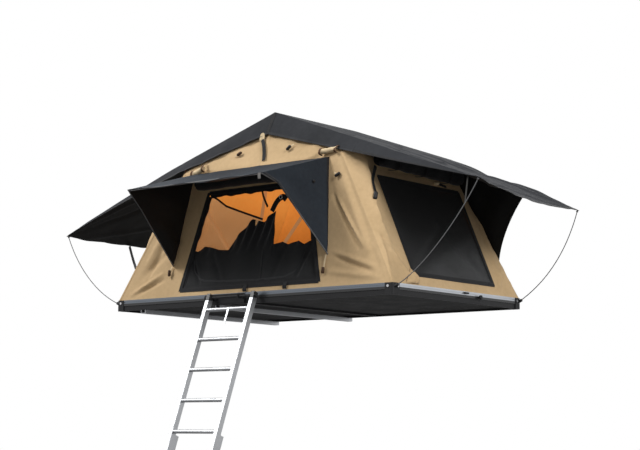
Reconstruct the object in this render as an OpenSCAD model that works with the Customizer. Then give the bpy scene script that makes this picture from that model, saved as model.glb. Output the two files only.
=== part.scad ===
// Fold-over roof top tent: two-panel base, three bows, canvas, rain fly with two wings, two hoods, ladder.
// Built round the base hinge: X along the base, Y across it with the front at -Y, Z = 0 on the base top.
// place() then moves the origin to the middle of the bolt pattern under the mounting rails.

/* [Base] */
// length of each half of the base
deck_half = 1200; // [1100:1:1300]
// width of the base
deck_w = 1400; // [1300:1:1500]
// height of the base edge
deck_t = 73; // [65:1:90]
// height of the bright edge extrusion
edge_h = 40; // [30:1:45]
// width of the edge extrusion and of the lower ring
edge_w = 18; // [14:1:26]
// height of the floor panel
floor_t = 60; // [50:1:64]
// gap between the two halves
hinge_gap = 2; // [1:0.5:4]
// length of each leg of a corner cap
cap_l = 62; // [50:1:80]
// how far a corner cap stands proud of the edge
cap_proud = 3; // [2:0.5:5]
// rounding of a corner cap
cap_r = 22; // [12:1:30]
// radius of a cap bolt head
bolt_r = 8; // [5:0.5:9]
// height of a cap bolt head
bolt_h = 4; // [2:0.5:6]

/* [Mounting rails] */
// height of a mounting rail
rail_h = 25; // [20:1:40]
// width of a mounting rail
rail_w = 44; // [40:1:60]
// wall of a mounting rail
rail_wall = 4; // [3:0.5:6]
// spacing of the mounting rails
rail_span = 700; // [500:1:900]
// spacing of the bolt holes along a rail
hole_span = 900; // [700:1:1000]
// radius of a bolt hole, clear for M8
hole_r = 4.5; // [4:0.1:5]

/* [Hinge] */
// height of the hinge pin over the base top
hinge_h = 130; // [120:1:150]
// distance of a side bow's pivot from the hinge pin, along the base
bow_px = 70; // [60:1:90]
// drop of a side bow's pivot below the hinge pin
bow_drop = 45; // [40:1:50]
// thickness of a hinge plate
plate_t = 5; // [4:0.5:8]
// length of a hinge plate's foot
plate_l = 185; // [160:1:220]
// distance of the hinge plates from the base edge
plate_in = 40; // [34:1:60]
// radius of a pivot pin
pin_r = 6; // [5:0.5:8]
// running clearance round a pivot pin
pin_gap = 0.05; // [0.03:0.01:0.1]
// side clearance between hinge leaves
leaf_gap = 0.4; // [0.3:0.1:0.8]

/* [Bows] */
// radius of a bow tube
bow_r = 11; // [9:0.5:13]
// radius of a bow's elbow fittings
elbow_r = 14; // [13.5:0.5:17]
// length of the ridge bow from its pin
ridge_len = 1080; // [1000:1:1100]
// half length of the ridge tube
ridge_half = 400; // [360:1:420]
// length of a side bow from its pin to its eave tube
bow_len = 1099; // [1000:1:1110]
// lean of a side bow over the base, in degrees
bow_lean = 51.1; // [48:0.1:54]
// share of a side bow's length at its shoulder
shoulder = 0.896; // [0.86:0.001:0.92]
// half width of a side bow at its shoulder
shoulder_half = 556; // [540:1:560]
// half length of an eave tube
eave_half = 450; // [430:1:470]

/* [Canvas] */
// thickness of a canvas panel as built
canvas_t = 1.6; // [1.2:0.1:2]
// distance of the canvas foot from the base edge
canvas_in = 8; // [6:1:10]
// clearance between sewn panels and round the bows
sew_gap = 0.4; // [0.3:0.1:0.6]
// width of the door at its sill
door_w0 = 1200; // [1000:1:1240]
// width of the door at its head
door_w1 = 860; // [700:1:900]
// height of the door sill over the base
door_z0 = 48; // [40:1:80]
// height of the door head over the base
door_z1 = 690; // [600:1:720]
// width of an end window
win_w = 860; // [700:1:880]
// height of the window sill over the base
win_z0 = 78; // [60:1:120]
// height of the window head over the base
win_z1 = 700; // [640:1:770]
// width of the black binding round an opening
bind_w = 28; // [20:1:36]
// thickness of the binding
bind_t = 2; // [1.5:0.1:3]
// lap of the binding over the opening
bind_lap = 8; // [5:1:12]
// thickness of the mesh
mesh_t = 0.8; // [0.6:0.1:1.2]
// height of the dropped door panel
drop_h = 262; // [200:1:300]
// height that its gathered part is drawn up to
gather_h = 485; // [400:1:520]
// depth of the folds in the dropped door panel
fold_d = 16; // [8:1:20]

/* [Rain fly] */
// thickness of the fly as built
fly_t = 1.4; // [1:0.1:1.8]
// half length of the fly at the ridge
fly_ridge = 431; // [425:1:460]
// half length of the fly at the eave
fly_eave = 500; // [485:1:520]
// drop of the skirt at the ridge
skirt_ridge = 160; // [120:1:180]
// drop of the skirt at the eave
skirt_eave = 95; // [70:1:110]
// how far the skirt stands forward at its hem
skirt_out = 80; // [70:1:90]
// reach of a wing tip from the hinge line
wing_x = 1780; // [1650:1:1850]
// half width of a wing at its tips
wing_half = 620; // [580:1:650]
// height of a wing tip over the base
wing_z = 520; // [480:1:600]
// upward bow of a wing along its slope
wing_bow = 35; // [15:1:50]
// sag of a wing's outer hem
wing_sag = 34; // [15:1:50]
// how far a wing's outer hem is drawn in
wing_draw = 45; // [20:1:70]

/* [Spring rods] */
// radius of a spring rod
rod_r = 4; // [3:0.5:5]
// bulge of a spring rod off its chord
rod_sag = 75; // [50:1:100]
// radius of the bead on a rod's end
bead_r = 7; // [6:0.5:9]
// outer radius of a rod socket
sock_r = 10; // [8.5:0.5:12]
// clearance round a rod in its socket
sock_gap = 0.5; // [0.4:0.1:0.6]
// depth of a rod in its socket
sock_d = 22; // [16:1:30]

/* [Hoods] */
// half width of a hood at the wall
hood_half = 590; // [540:1:600]
// height of a hood's top edge on the wall
hood_z = 846; // [820:1:850]
// reach of a hood from the wall
hood_out = 635; // [560:1:680]
// drop of a hood over its reach
hood_drop = 184; // [140:1:220]
// half width of a hood at its lower tips
tip_half = 668; // [650:1:680]
// height of a hood's lower tips
tip_z = 210; // [180:1:240]
// radius of a hood's hoop
hoop_r = 4; // [3:0.5:5]

/* [Mattress] */
// height of a mattress half
mat_h = 55; // [45:1:58]
// crown of a mattress half
mat_crown = 5; // [3:1:7]
// distance of a mattress from the base sides
mat_side = 90; // [85:1:110]
// distance of a mattress from the base end
mat_end = 52; // [48:1:70]
// distance of a mattress from the hinge line
mat_in = 34; // [25:1:45]
// how far the mattress sides are drawn in
mat_draw = 12; // [8:1:16]

/* [Ladder] */
// spacing of the ladder's side rails
lad_w = 390; // [360:1:420]
// distance of the ladder's middle from the hinge line
lad_x = -80; // [-110:1:-60]
// lean of the ladder, in degrees
lad_lean = 20; // [14:0.5:26]
// width of an upper rail, along the base
lad_rx = 28; // [24:1:32]
// depth of an upper rail
lad_ry = 38; // [32:1:44]
// wall of a ladder rail
lad_wall = 2.5; // [2:0.1:3.5]
// length of a ladder section
lad_len = 1130; // [1000:1:1200]
// pitch of the rungs
rung_p = 210; // [200:1:230]
// distance of an end rung from its end of the ladder
rung_end = 95; // [85:1:110]
// radius of a rung
rung_r = 13; // [11:0.5:15]
// clearance between the sliding sections
lad_gap = 0.4; // [0.3:0.1:0.8]
// overlap of the sections when drawn out
lad_lap = 185; // [150:1:220]
// distance of the ladder's hinge rod from the base front
lad_off = 46; // [42:1:60]
// depth of the ladder's hinge rod below the base top
lad_dz = 28; // [24:1:34]
// radius of the ladder's hinge rod
lad_pin = 8; // [7:0.5:9]
// height of a ladder foot
foot_h = 30; // [20:1:40]

/* [Hidden] */
$fn = 40;
half_w = deck_w / 2;
// hinge stack, outward faces measured from the middle line
leaf_a = half_w - plate_in;
leaf_b = leaf_a - plate_t - leaf_gap;
eye_o = leaf_b - plate_t - leaf_gap;
eye_t = 2 * bow_r + 6;
leg_y = eye_o - eye_t / 2;
eye_r = bow_r + 6;
bow_z = hinge_h - bow_drop;
// bow centre lines, front right corner
bow_dx = cos(bow_lean);
bow_dz = sin(bow_lean);
pivot_c = [bow_px, -leg_y, bow_z];
should_c = [bow_px + bow_dx * bow_len * shoulder, -shoulder_half, bow_z + bow_dz * bow_len * shoulder];
eave_c = [bow_px + bow_dx * bow_len, -eave_half, bow_z + bow_dz * bow_len];
ridge_c = [0, -ridge_half, hinge_h + ridge_len];
// canvas corners, outer face, front right corner
lift = elbow_r + sew_gap + canvas_t;
foot_p = [deck_half - canvas_in, -half_w + canvas_in, 0];
should_p = [should_c[0] + 9, -shoulder_half - 18, should_c[2] + 6];
eave_p = [eave_c[0] + lift * 0.70, -eave_half - lift * 0.9, eave_c[2] + lift * 0.84];
ridge_p = [0, -ridge_half - elbow_r - 5, ridge_c[2] + lift * 1.08];
inset = canvas_t + sew_gap;
// seat of a binding on its canvas
seat = 0.05;
// slopes of the flat part of the front wall and of the end wall
front_k = (should_p[1] - foot_p[1]) / should_p[2];
end_k = (foot_p[0] - eave_p[0]) / eave_p[2];
// fly corners, lower face
fly_up = canvas_t + sew_gap;
fly_rz = ridge_p[2] + sew_gap;
fly_ex = eave_p[0];
fly_ez = eave_p[2] + sew_gap;
// rod ends, front right corner
rod_a = [deck_half + cap_proud + 4, -half_w + 18, -edge_h / 2];
rod_b = [wing_x - 12, -wing_half + 10, wing_z - bead_r - sew_gap - 2];
rod_chord = norm(rod_b - rod_a);
rod_rad = (rod_chord * rod_chord / 4 + rod_sag * rod_sag) / (2 * rod_sag);
rod_half = asin(rod_chord / 2 / rod_rad);
rod_u = (rod_b - rod_a) / rod_chord;
rod_d = [0.7, 0, -0.7];
rod_e = rod_d - (rod_d * rod_u) * rod_u;
rod_v = rod_e / norm(rod_e);
rod_m = (rod_a + rod_b) / 2 - rod_v * (rod_rad - rod_sag);
rod_t = rod_u * cos(rod_half) + rod_v * sin(rod_half);
// hood corners, outer face, right side
hood_b = [hood_half, foot_p[1] + front_k * hood_z - 0.5, hood_z];
hood_c = [hood_half, hood_b[1] - hood_out, hood_z - hood_drop];
hood_m = [hood_half + 7, hood_c[1] + 0.22 * hood_out, hood_c[2] - 44];
hood_t = [tip_half, foot_p[1] + front_k * tip_z - 0.5, tip_z];
// lower ladder section, measured down the rails from the hinge rod
low_rx = lad_rx - 4;
low_ry = lad_ry - 8;
low_y = lad_ry / 2 + lad_gap + low_ry / 2;
low_top = lad_len - lad_lap;

// moves the hinge-centred model to the part's frame
module place() {
  translate([deck_half / 2, 0, deck_t + rail_h])
    children();
}

// both ends across the base: the front one as drawn and its mirror image at the back
module both_y() {
  children();
  mirror([0, 1, 0])
    children();
}

// a left-hand copy of a right-hand shape
module left() {
  mirror([1, 0, 0])
    children();
}

// a round bar between two points
module bar(p, q, r) {
  d = q - p;
  translate(p)
    rotate([0, acos(d[2] / norm(d)), atan2(d[1], d[0])])
      cylinder(h = norm(d), r = r);
}

// a pin or boss along Y, from y0 towards the back
module y_pin(x, y0, z, len, r) {
  translate([x, y0, z])
    rotate([-90, 0, 0])
      cylinder(h = len, r = r);
}

// a closed thin shell between an outer and an inner set of points
module shell(outer, inner, tris) {
  n = len(outer);
  edges = [for (t = tris) for (i = [0:2]) [t[i], t[(i + 1) % 3]]];
  rim = [for (e = edges) if (len([for (g = edges) if (g[0] == e[1] && g[1] == e[0]) 1]) == 0) e];
  polyhedron(
    points = concat(outer, inner),
    faces = concat(
      tris,
      [for (t = tris) [t[2] + n, t[1] + n, t[0] + n]],
      [for (e = rim) [e[1], e[0], e[0] + n]],
      [for (e = rim) [e[1], e[0] + n, e[1] + n]]));
}

// triangles of a grid of points listed row by row
function grid_tris(rows, cols) = [
  for (r = [0:rows - 2])
    for (c = [0:cols - 2])
      for (k = [0, 1])
        k == 0
          ? [r * cols + c, (r + 1) * cols + c, (r + 1) * cols + c + 1]
          : [r * cols + c, (r + 1) * cols + c + 1, r * cols + c + 1]];

// a point on the flat part of the front wall, off in front of its outer face
function front_pt(x, z, off) = [x, foot_p[1] + front_k * z - off, z];
// a point on the flat part of the end wall, off outside its outer face
function end_pt(y, z, off) = [foot_p[0] - end_k * z + off, y, z];

// half a base edge: bright extrusion with a slot round it, cut back for the corner caps
module edge_half() {
  difference() {
    translate([hinge_gap / 2, -half_w, -edge_h])
      cube([deck_half - hinge_gap / 2, deck_w, edge_h]);
    translate([hinge_gap / 2 + edge_w, -half_w + edge_w, -edge_h - 1])
      cube([deck_half - hinge_gap / 2 - 2 * edge_w, deck_w - 2 * edge_w, edge_h + 2]);
    both_y()
      translate([-1, -half_w - 1, -edge_h * 0.45])
        cube([deck_half + 2, 4, 5]);
    translate([deck_half - 3, -half_w - 1, -edge_h * 0.45])
      cube([4, deck_w + 2, 5]);
    both_y()
      translate([deck_half - cap_l, -half_w - 1, -edge_h - 1])
        cube([cap_l + 1, cap_l + 1, edge_h + 2]);
  }
}

// half a lower ring: black channel under the edge extrusion
module ring_half() {
  h = deck_t - edge_h;
  difference() {
    translate([hinge_gap / 2, -half_w + 4, -deck_t])
      cube([deck_half - hinge_gap / 2 - 4, deck_w - 8, h]);
    translate([hinge_gap / 2 + edge_w, -half_w + edge_w, -deck_t - 1])
      cube([deck_half - hinge_gap / 2 - 2 * edge_w, deck_w - 2 * edge_w, h + 2]);
    both_y()
      translate([deck_half - cap_l, -half_w - 1, -deck_t - 1])
        cube([cap_l + 1, cap_l + 1, h + 2]);
  }
}

// half a floor: insulated sandwich panel
module floor_half() {
  translate([hinge_gap / 2 + edge_w, -half_w + edge_w, -floor_t])
    cube([deck_half - hinge_gap / 2 - 2 * edge_w, deck_w - 2 * edge_w, floor_t]);
}

// one corner cap seen from above, its outer corner rounded
module cap_plan() {
  s = cap_l + cap_proud;
  difference() {
    union() {
      translate([deck_half - cap_l, -half_w - cap_proud + cap_r])
        square([s, s - cap_r]);
      translate([deck_half - cap_l, -half_w - cap_proud])
        square([s - cap_r, s]);
      translate([deck_half + cap_proud - cap_r, -half_w - cap_proud + cap_r])
        circle(r = cap_r);
    }
    translate([deck_half - cap_l - 1, -half_w + edge_w])
      square([cap_l - edge_w + 1, cap_l]);
  }
}

// axes with Z along a spring rod's lower end
module rod_axes() {
  x = cross(rod_t, [0, 1, 0]) / norm(cross(rod_t, [0, 1, 0]));
  y = cross(rod_t, x);
  multmatrix([
    [x[0], y[0], rod_t[0], rod_a[0]],
    [x[1], y[1], rod_t[1], rod_a[1]],
    [x[2], y[2], rod_t[2], rod_a[2]],
    [0, 0, 0, 1]])
    children();
}

// one corner cap with its rod socket, front right
module cap_one() {
  difference() {
    union() {
      translate([0, 0, -deck_t])
        linear_extrude(deck_t)
          cap_plan();
      intersection() {
        rod_axes()
          translate([0, 0, -sock_d])
            cylinder(h = sock_d + 16, r = sock_r);
        translate([deck_half + cap_proud - 1, -half_w - 40, -deck_t])
          cube([60, 120, 2 * deck_t]);
      }
    }
    rod_axes()
      cylinder(h = 40, r = rod_r + sock_gap);
  }
}

// bolts of one corner cap: two button heads with sockets
module cap_bolts() {
  difference() {
    union() {
      y_pin(deck_half - cap_l * 0.6, -half_w - cap_proud - bolt_h, -edge_h * 0.5, bolt_h, bolt_r);
      translate([deck_half + cap_proud, -half_w + cap_l * 0.72, -edge_h * 0.5])
        rotate([0, 90, 0])
          cylinder(h = bolt_h, r = bolt_r);
    }
    y_pin(deck_half - cap_l * 0.6, -half_w - cap_proud - bolt_h - 1, -edge_h * 0.5, bolt_h * 0.5 + 1, bolt_r * 0.4);
    translate([deck_half + cap_proud + bolt_h * 0.5, -half_w + cap_l * 0.72, -edge_h * 0.5])
      rotate([0, 90, 0])
        cylinder(h = bolt_h, r = bolt_r * 0.4);
  }
}

// outline of a hinge plate on the right-hand half, in X and Z
module plate_plan() {
  polygon([
    [hinge_gap + 8, 0],
    [plate_l + 8, 0],
    [plate_l + 8, 20],
    [bow_px + 15, bow_z + 14],
    [8, hinge_h + 16],
    [-8, hinge_h + 16],
    [-8, hinge_h - 10]]);
  translate([0, hinge_h])
    circle(r = pin_r + 12);
  translate([bow_px, bow_z])
    circle(r = pin_r + 13);
}

// the front hinge plate of the right-hand half, its outer face at -y_face
module plate_one(y_face, bow_hole) {
  difference() {
    union() {
      translate([0, -y_face, 0])
        rotate([90, 0, 0])
          mirror([0, 0, 1])
            linear_extrude(plate_t)
              plate_plan();
      translate([hinge_gap + 8, -y_face - 22, 0])
        cube([plate_l - hinge_gap, 22 + plate_t, plate_t]);
    }
    y_pin(0, -y_face - 1, hinge_h, plate_t + 2, pin_r + pin_gap);
    y_pin(bow_px, -y_face - 1, bow_z, plate_t + 2, bow_hole);
  }
  for (x = [40, plate_l - 20])
    translate([x, -y_face - 11, plate_t])
      cylinder(h = 4, r = bolt_r - 1);
}

// a pivot pin with a head inside, from -y_face to the inner face of a bow's eye
module bow_pin(x, z, y_face) {
  y_pin(x, -y_face, z, y_face - eye_o + eye_t + leaf_gap, pin_r);
  y_pin(x, -eye_o + eye_t + leaf_gap / 2, z, 4, pin_r + 4);
}

// the front side of a bow: eye, leg and elbows
module bow_side(points) {
  difference() {
    union() {
      y_pin(points[0][0], -eye_o, points[0][2], eye_t, eye_r);
      for (i = [0:len(points) - 2])
        bar(points[i], points[i + 1], bow_r);
      for (i = [1:len(points) - 1])
        translate(points[i])
          sphere(r = elbow_r);
    }
    y_pin(points[0][0], -eye_o - 20, points[0][2], eye_t + 40, pin_r + pin_gap);
  }
}

// right-hand bow
module side_bow() {
  both_y()
    bow_side([pivot_c, should_c, eave_c]);
  y_pin(eave_c[0], -eave_half, eave_c[2], 2 * eave_half, bow_r);
}

// front wall canvas with its door
module front_canvas() {
  f = foot_p - [inset, 0, 0];
  s = should_p - [inset, 0, 0];
  e = eave_p - [inset, 0, 0];
  flip = function (p) [-p[0], p[1], p[2]];
  outer = [flip(f), f, s, e, ridge_p, flip(e), flip(s)];
  inner = [for (p = outer) p + [0, canvas_t, 0]];
  difference() {
    shell(outer, inner, [[0, 6, 2], [0, 2, 1], [6, 4, 2], [2, 4, 3], [6, 5, 4]]);
    translate([0, -half_w / 2, 0])
      rotate([90, 0, 0])
        linear_extrude(half_w)
          polygon([[-door_w0 / 2, door_z0], [door_w0 / 2, door_z0], [door_w1 / 2, door_z1], [-door_w1 / 2, door_z1]]);
  }
}

// right end canvas with its window
module end_canvas() {
  flip = function (p) [p[0], -p[1], p[2]];
  outer = [foot_p, flip(foot_p), flip(should_p), flip(eave_p), eave_p, should_p];
  inner = [for (p = outer) p - [canvas_t, 0, 0]];
  difference() {
    shell(outer, inner, [[0, 4, 3], [0, 3, 1], [0, 5, 4], [1, 3, 2]]);
    translate([deck_half * 0.3, 0, 0])
      rotate([90, 0, 90])
        linear_extrude(deck_half)
          polygon([[-win_w / 2, win_z0], [win_w / 2, win_z0], [win_w / 2, win_z1], [-win_w / 2, win_z1]]);
  }
}

// right-hand slope of the canvas roof
module roof_half() {
  e = [eave_p[0] - inset, eave_p[1] + inset + 1, eave_p[2]];
  r = [sew_gap / 2, ridge_p[1] + inset + 1, ridge_p[2]];
  outer = [r, e, [e[0], -e[1], e[2]], [r[0], -r[1], r[2]]];
  inner = [for (p = outer) p - [0, 0, canvas_t]];
  shell(outer, inner, [[0, 3, 2], [0, 2, 1]]);
}

// a flat four-sided binding: outer ring, opening ring, and the points of its two faces
module binding(out_f, in_f) {
  shell(out_f, in_f, [
    [0, 3, 7], [0, 7, 4], [3, 2, 6], [3, 6, 7], [2, 1, 5], [2, 5, 6], [1, 0, 4], [1, 4, 5]]);
}

// binding round the door
module door_binding() {
  o = bind_w - bind_lap;
  ring = [
    [-door_w0 / 2 - o, door_z0 - o], [door_w0 / 2 + o, door_z0 - o],
    [door_w1 / 2 + o, door_z1 + o], [-door_w1 / 2 - o, door_z1 + o],
    [-door_w0 / 2 + bind_lap, door_z0 + bind_lap], [door_w0 / 2 - bind_lap, door_z0 + bind_lap],
    [door_w1 / 2 - bind_lap, door_z1 - bind_lap], [-door_w1 / 2 + bind_lap, door_z1 - bind_lap]];
  binding([for (p = ring) front_pt(p[0], p[1], bind_t)], [for (p = ring) front_pt(p[0], p[1], seat)]);
}

// binding round an end window
module window_binding() {
  o = bind_w - bind_lap;
  w = win_w / 2;
  ring = [
    [-w - o, win_z0 - o], [w + o, win_z0 - o], [w + o, win_z1 + o], [-w - o, win_z1 + o],
    [-w + bind_lap, win_z0 + bind_lap], [w - bind_lap, win_z0 + bind_lap],
    [w - bind_lap, win_z1 - bind_lap], [-w + bind_lap, win_z1 - bind_lap]];
  binding([for (p = ring) end_pt(p[0], p[1], bind_t)], [for (p = ring) end_pt(p[0], p[1], seat)]);
}

// flat filling of a window, behind its binding
module window_fill() {
  w = win_w / 2 - sew_gap;
  ring = [[-w, win_z0 + sew_gap], [w, win_z0 + sew_gap], [w, win_z1 - sew_gap], [-w, win_z1 - sew_gap]];
  shell([for (p = ring) end_pt(p[0], p[1], 0)], [for (p = ring) end_pt(p[0], p[1], -mesh_t)], [[0, 3, 2], [0, 2, 1]]);
}

// flat filling of the whole door, behind its binding
module door_fill() {
  a = door_w0 / 2 - sew_gap;
  b = door_w1 / 2 - sew_gap;
  ring = [[-a, door_z0 + sew_gap], [a, door_z0 + sew_gap], [b, door_z1 - sew_gap], [-b, door_z1 - sew_gap]];
  shell([for (p = ring) front_pt(p[0], p[1], 0)], [for (p = ring) front_pt(p[0], p[1], -mesh_t)],
    [[0, 3, 2], [0, 2, 1]]);
}

// top edge of the dropped door panel: low and wavy, drawn up in the middle towards its tie
function drop_top(x) =
  let (low = door_z0 + drop_h + 9 * sin(x * 2.1) + 5 * sin(x * 4.7 + 40))
  let (up = door_z0 + gather_h)
  x < -210 ? low
    : x < -40 ? low + (up - low) * (x + 210) / 170
    : x < 165 ? up + 14 * sin((x + 40) * 0.9)
    : x < 200 ? up + (low - up) * (x - 165) / 35
    : low;

// depth of the folds in the dropped door panel
function drop_fold(x, v) = fold_d * (0.5 + 0.5 * sin(x * 1.45 + 25 * v)) * (0.35 + 0.65 * v);

// dropped and gathered door panel, hanging just inside the door
module drop_panel() {
  cols = 41;
  rows = 8;
  w = door_w0 / 2 - 10;
  off = canvas_t + sew_gap;
  pts = [
    for (r = [0:rows - 1])
      for (c = [0:cols - 1])
        let (x0 = -w + 2 * w * c / (cols - 1))
        let (v = r / (rows - 1))
        let (z = door_z0 - 6 + (drop_top(x0) - door_z0 + 6) * v)
        front_pt(x0 * (1 - 0.13 * (z - door_z0) / 262 * 0.4), z, -off - drop_fold(x0, v))];
  shell(pts, [for (p = pts) p + [0, 1.2, 0]], grid_tris(rows, cols));
}

// part of the door's mesh that still hangs between the left jamb and the gathered panel
module door_mesh() {
  k = (door_w0 - door_w1) / 2 / (door_z1 - door_z0);
  jamb = function (z) -door_w0 / 2 + k * (z - door_z0) + sew_gap + 0.2;
  low = door_z0 + drop_h - 30;
  ring = [
    [jamb(low), low], [-130, low], [-55, door_z0 + gather_h - 20], [-210, door_z1 - 85],
    [-330, door_z1 - 35], [jamb(door_z1 - 10), door_z1 - 10]];
  shell([for (p = ring) front_pt(p[0], p[1], 0)], [for (p = ring) front_pt(p[0], p[1], -mesh_t)],
    [[0, 2, 1], [0, 3, 2], [0, 4, 3], [0, 5, 4]]);
}

// point of the right-hand fly slope's lower face: s from ridge to eave, y across
function fly_pt(s, y, up) = [sew_gap / 2 + (fly_ex - sew_gap / 2) * s, y, fly_rz + (fly_ez - fly_rz) * s + up];

// right-hand fly slope with its front and back skirts
module fly_half() {
  cols = 7;
  rows = 7;
  row_y = function (s, v) (fly_ridge + (fly_eave - fly_ridge) * s) * v;
  drop = function (s) skirt_ridge + (skirt_eave - skirt_ridge) * s;
  out = function (s) skirt_out * (0.86 + 0.14 * s);
  ramp = [-2, -1.5, -1, 0, 1, 1.5, 2];
  pts = [
    for (r = ramp)
      for (c = [0:cols - 1])
        let (s = c / (cols - 1))
        let (v = max(-1, min(1, r)))
        let (h = abs(r) > 1 ? abs(r) - 1 : 0)
        fly_pt(s, row_y(s, v) + sign(r) * out(s) * h, -drop(s) * h)];
  top = [for (i = [0:len(pts) - 1])
    let (r = ramp[floor(i / cols)])
    pts[i] + (abs(r) > 1 ? [0, sign(r) * fly_t, fly_t * 0.5] : [0, 0, fly_t])];
  shell(top, pts, [for (t = grid_tris(rows, cols)) [t[2], t[1], t[0]]]);
}

// height of the wing's lower face, t down the slope and v across
function wing_at(t, v, h) =
  let (flat = 1 - v * v)
  let (side = fly_eave + (wing_half - fly_eave) * t)
  [fly_ex + sew_gap + (wing_x - fly_ex) * t - wing_draw * flat * t * t,
    v * side + sign(v) * skirt_out * (1 - t) * h,
    fly_ez + (wing_z - fly_ez) * t + 4 * wing_bow * t * (1 - t) - wing_sag * flat * t * t - skirt_eave * (1 - t) * h];

// right-hand wing: sheet with side hems, and the curtain on its back edge
module wing_half_fly() {
  cols = 9;
  vs = [-1, -1, -0.75, -0.4, 0, 0.4, 0.75, 1, 1];
  hs = [1, 0, 0, 0, 0, 0, 0, 0, 1];
  rows = len(vs);
  pts = [for (r = [0:rows - 1]) for (c = [0:cols - 1]) wing_at(c / (cols - 1) * 0.995, vs[r], hs[r])];
  top = [for (i = [0:len(pts) - 1])
    pts[i] + (hs[floor(i / cols)] > 0 ? [0, sign(vs[floor(i / cols)]) * fly_t, fly_t * 0.5] : [0, 0, fly_t])];
  shell(top, pts, [for (t = grid_tris(rows, cols)) [t[2], t[1], t[0]]]);
  wing_curtain();
}

// curtain between a wing's back hem and the end wall's back corner
module wing_curtain() {
  n = 6;
  top_z = should_p[2] - 40;
  low_z = 255;
  corner = function (z)
    foot_p + (should_p - foot_p) * z / should_p[2];
  beside = function (z) [corner(z)[0] + 14, 3 - corner(z)[1], z];
  a = [for (i = [0:n]) wing_at(0.02 + 0.55 * i / n, 1, 1) - [0, 0, sew_gap]];
  b = [for (i = [0:n]) beside(top_z + (low_z - top_z) * i / n)];
  mid = [for (i = [0:n])
    let (f = i / n)
    (a[i] + b[i]) / 2 - [46 * f * f, 0, 0]];
  pts = concat(b, mid, a);
  top = [for (p = pts) p + [0, fly_t, 0]];
  shell(top, pts, [for (t = grid_tris(3, n + 1)) [t[0], t[1], t[2]]]);
}

// one spring rod with its end bead, front right
module rod_one() {
  multmatrix([
    [rod_v[0], rod_u[0], cross(rod_v, rod_u)[0], rod_m[0]],
    [rod_v[1], rod_u[1], cross(rod_v, rod_u)[1], rod_m[1]],
    [rod_v[2], rod_u[2], cross(rod_v, rod_u)[2], rod_m[2]],
    [0, 0, 0, 1]])
    rotate([0, 0, -rod_half])
      rotate_extrude(angle = 2 * rod_half)
        translate([rod_rad, 0])
          circle(r = rod_r);
  translate(rod_b)
    sphere(r = bead_r);
}

// hood sheet with its two cheeks
module hood_sheet() {
  flip = function (p) [-p[0], p[1], p[2]];
  outer = [flip(hood_b), hood_b, hood_c, flip(hood_c), flip(hood_m), hood_m, flip(hood_t), hood_t];
  d = canvas_t;
  move = [[d, 0, -d], [-d, 0, -d], [-d, 0, -d], [d, 0, -d], [d, 0, 0], [-d, 0, 0], [d, 0, 0], [-d, 0, 0]];
  inner = [for (i = [0:7]) outer[i] + move[i]];
  shell(outer, inner, [[0, 1, 2], [0, 2, 3], [0, 3, 4], [0, 4, 6], [2, 1, 5], [5, 1, 7]]);
}

// hoop that spreads a hood: front bar, two bends and two legs
module hood_hoop() {
  d = canvas_t + sew_gap + hoop_r;
  c = hood_c + [-d, d, -d];
  m = hood_m + [-d - 3, d + 2, 0];
  t = hood_t + [-d - 1, -hoop_r - 3, 0];
  pts = [[-t[0], t[1], t[2]], [-m[0], m[1], m[2]], [-c[0], c[1], c[2]], c, m, t];
  for (i = [0:4])
    bar(pts[i], pts[i + 1], hoop_r);
  for (i = [1:4])
    translate(pts[i])
      sphere(r = hoop_r + 0.5);
  for (p = [pts[0], pts[5]])
    translate(p)
      sphere(r = hoop_r + 1);
}

// corner points of a mattress ring, drawn in by d
function mat_ring(d, z, r, n) = [
  for (q = [0:3])
    for (i = [0:n])
      let (a = q * 90 + 90 * i / n)
      let (cx = (q == 0 || q == 3) ? deck_half - mat_end - d - r : mat_in + d + r)
      let (cy = (q == 0 || q == 1) ? half_w - mat_side - d - r : -half_w + mat_side + d + r)
      [cx + r * cos(a), cy + r * sin(a), z]];

// right-hand mattress half: drawn-in sides and a crowned top
module mattress_half() {
  n = 5;
  m = 4 * (n + 1);
  wide = half_w - mat_side;
  rings = [
    mat_ring(mat_draw * 0.6, 0, 40, n),
    mat_ring(1, mat_h * 0.22, 44, n),
    mat_ring(0, mat_h * 0.45, 45, n),
    mat_ring(3, mat_h * 0.72, 42, n),
    mat_ring(mat_draw, mat_h * 0.9, 36, n),
    mat_ring(mat_draw * 3, mat_h, 34, n),
    mat_ring(wide * 0.25, mat_h + mat_crown * 0.6, 32, n),
    mat_ring(wide * 0.5, mat_h + mat_crown * 0.9, 30, n)];
  k = len(rings);
  pts = [for (r = rings) for (p = r) p];
  mid = [(deck_half - mat_end + mat_in) / 2, 0, 0];
  polyhedron(
    points = concat(pts, [mid, mid + [0, 0, mat_h + mat_crown]]),
    faces = concat(
      [for (r = [0:k - 2]) for (i = [0:m - 1]) [r * m + i, (r + 1) * m + i, (r + 1) * m + (i + 1) % m]],
      [for (r = [0:k - 2]) for (i = [0:m - 1]) [r * m + i, (r + 1) * m + (i + 1) % m, r * m + (i + 1) % m]],
      [for (i = [0:m - 1]) [i, (i + 1) % m, k * m]],
      [for (i = [0:m - 1]) [(k - 1) * m + (i + 1) % m, (k - 1) * m + i, k * m + 1]]));
}

// moves the ladder to its hinge rod and leans it
module ladder_place() {
  translate([lad_x, -half_w - lad_off, -lad_dz])
    rotate([-lad_lean, 0, 0])
      children();
}

// a hollow ladder rail hanging down from z
module lad_rail(x, y, z, rx, ry, len) {
  translate([x - rx / 2, y - ry / 2, z - len])
    difference() {
      cube([rx, ry, len]);
      translate([lad_wall, lad_wall, -1])
        cube([rx - 2 * lad_wall, ry - 2 * lad_wall, len + 2]);
    }
}

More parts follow.
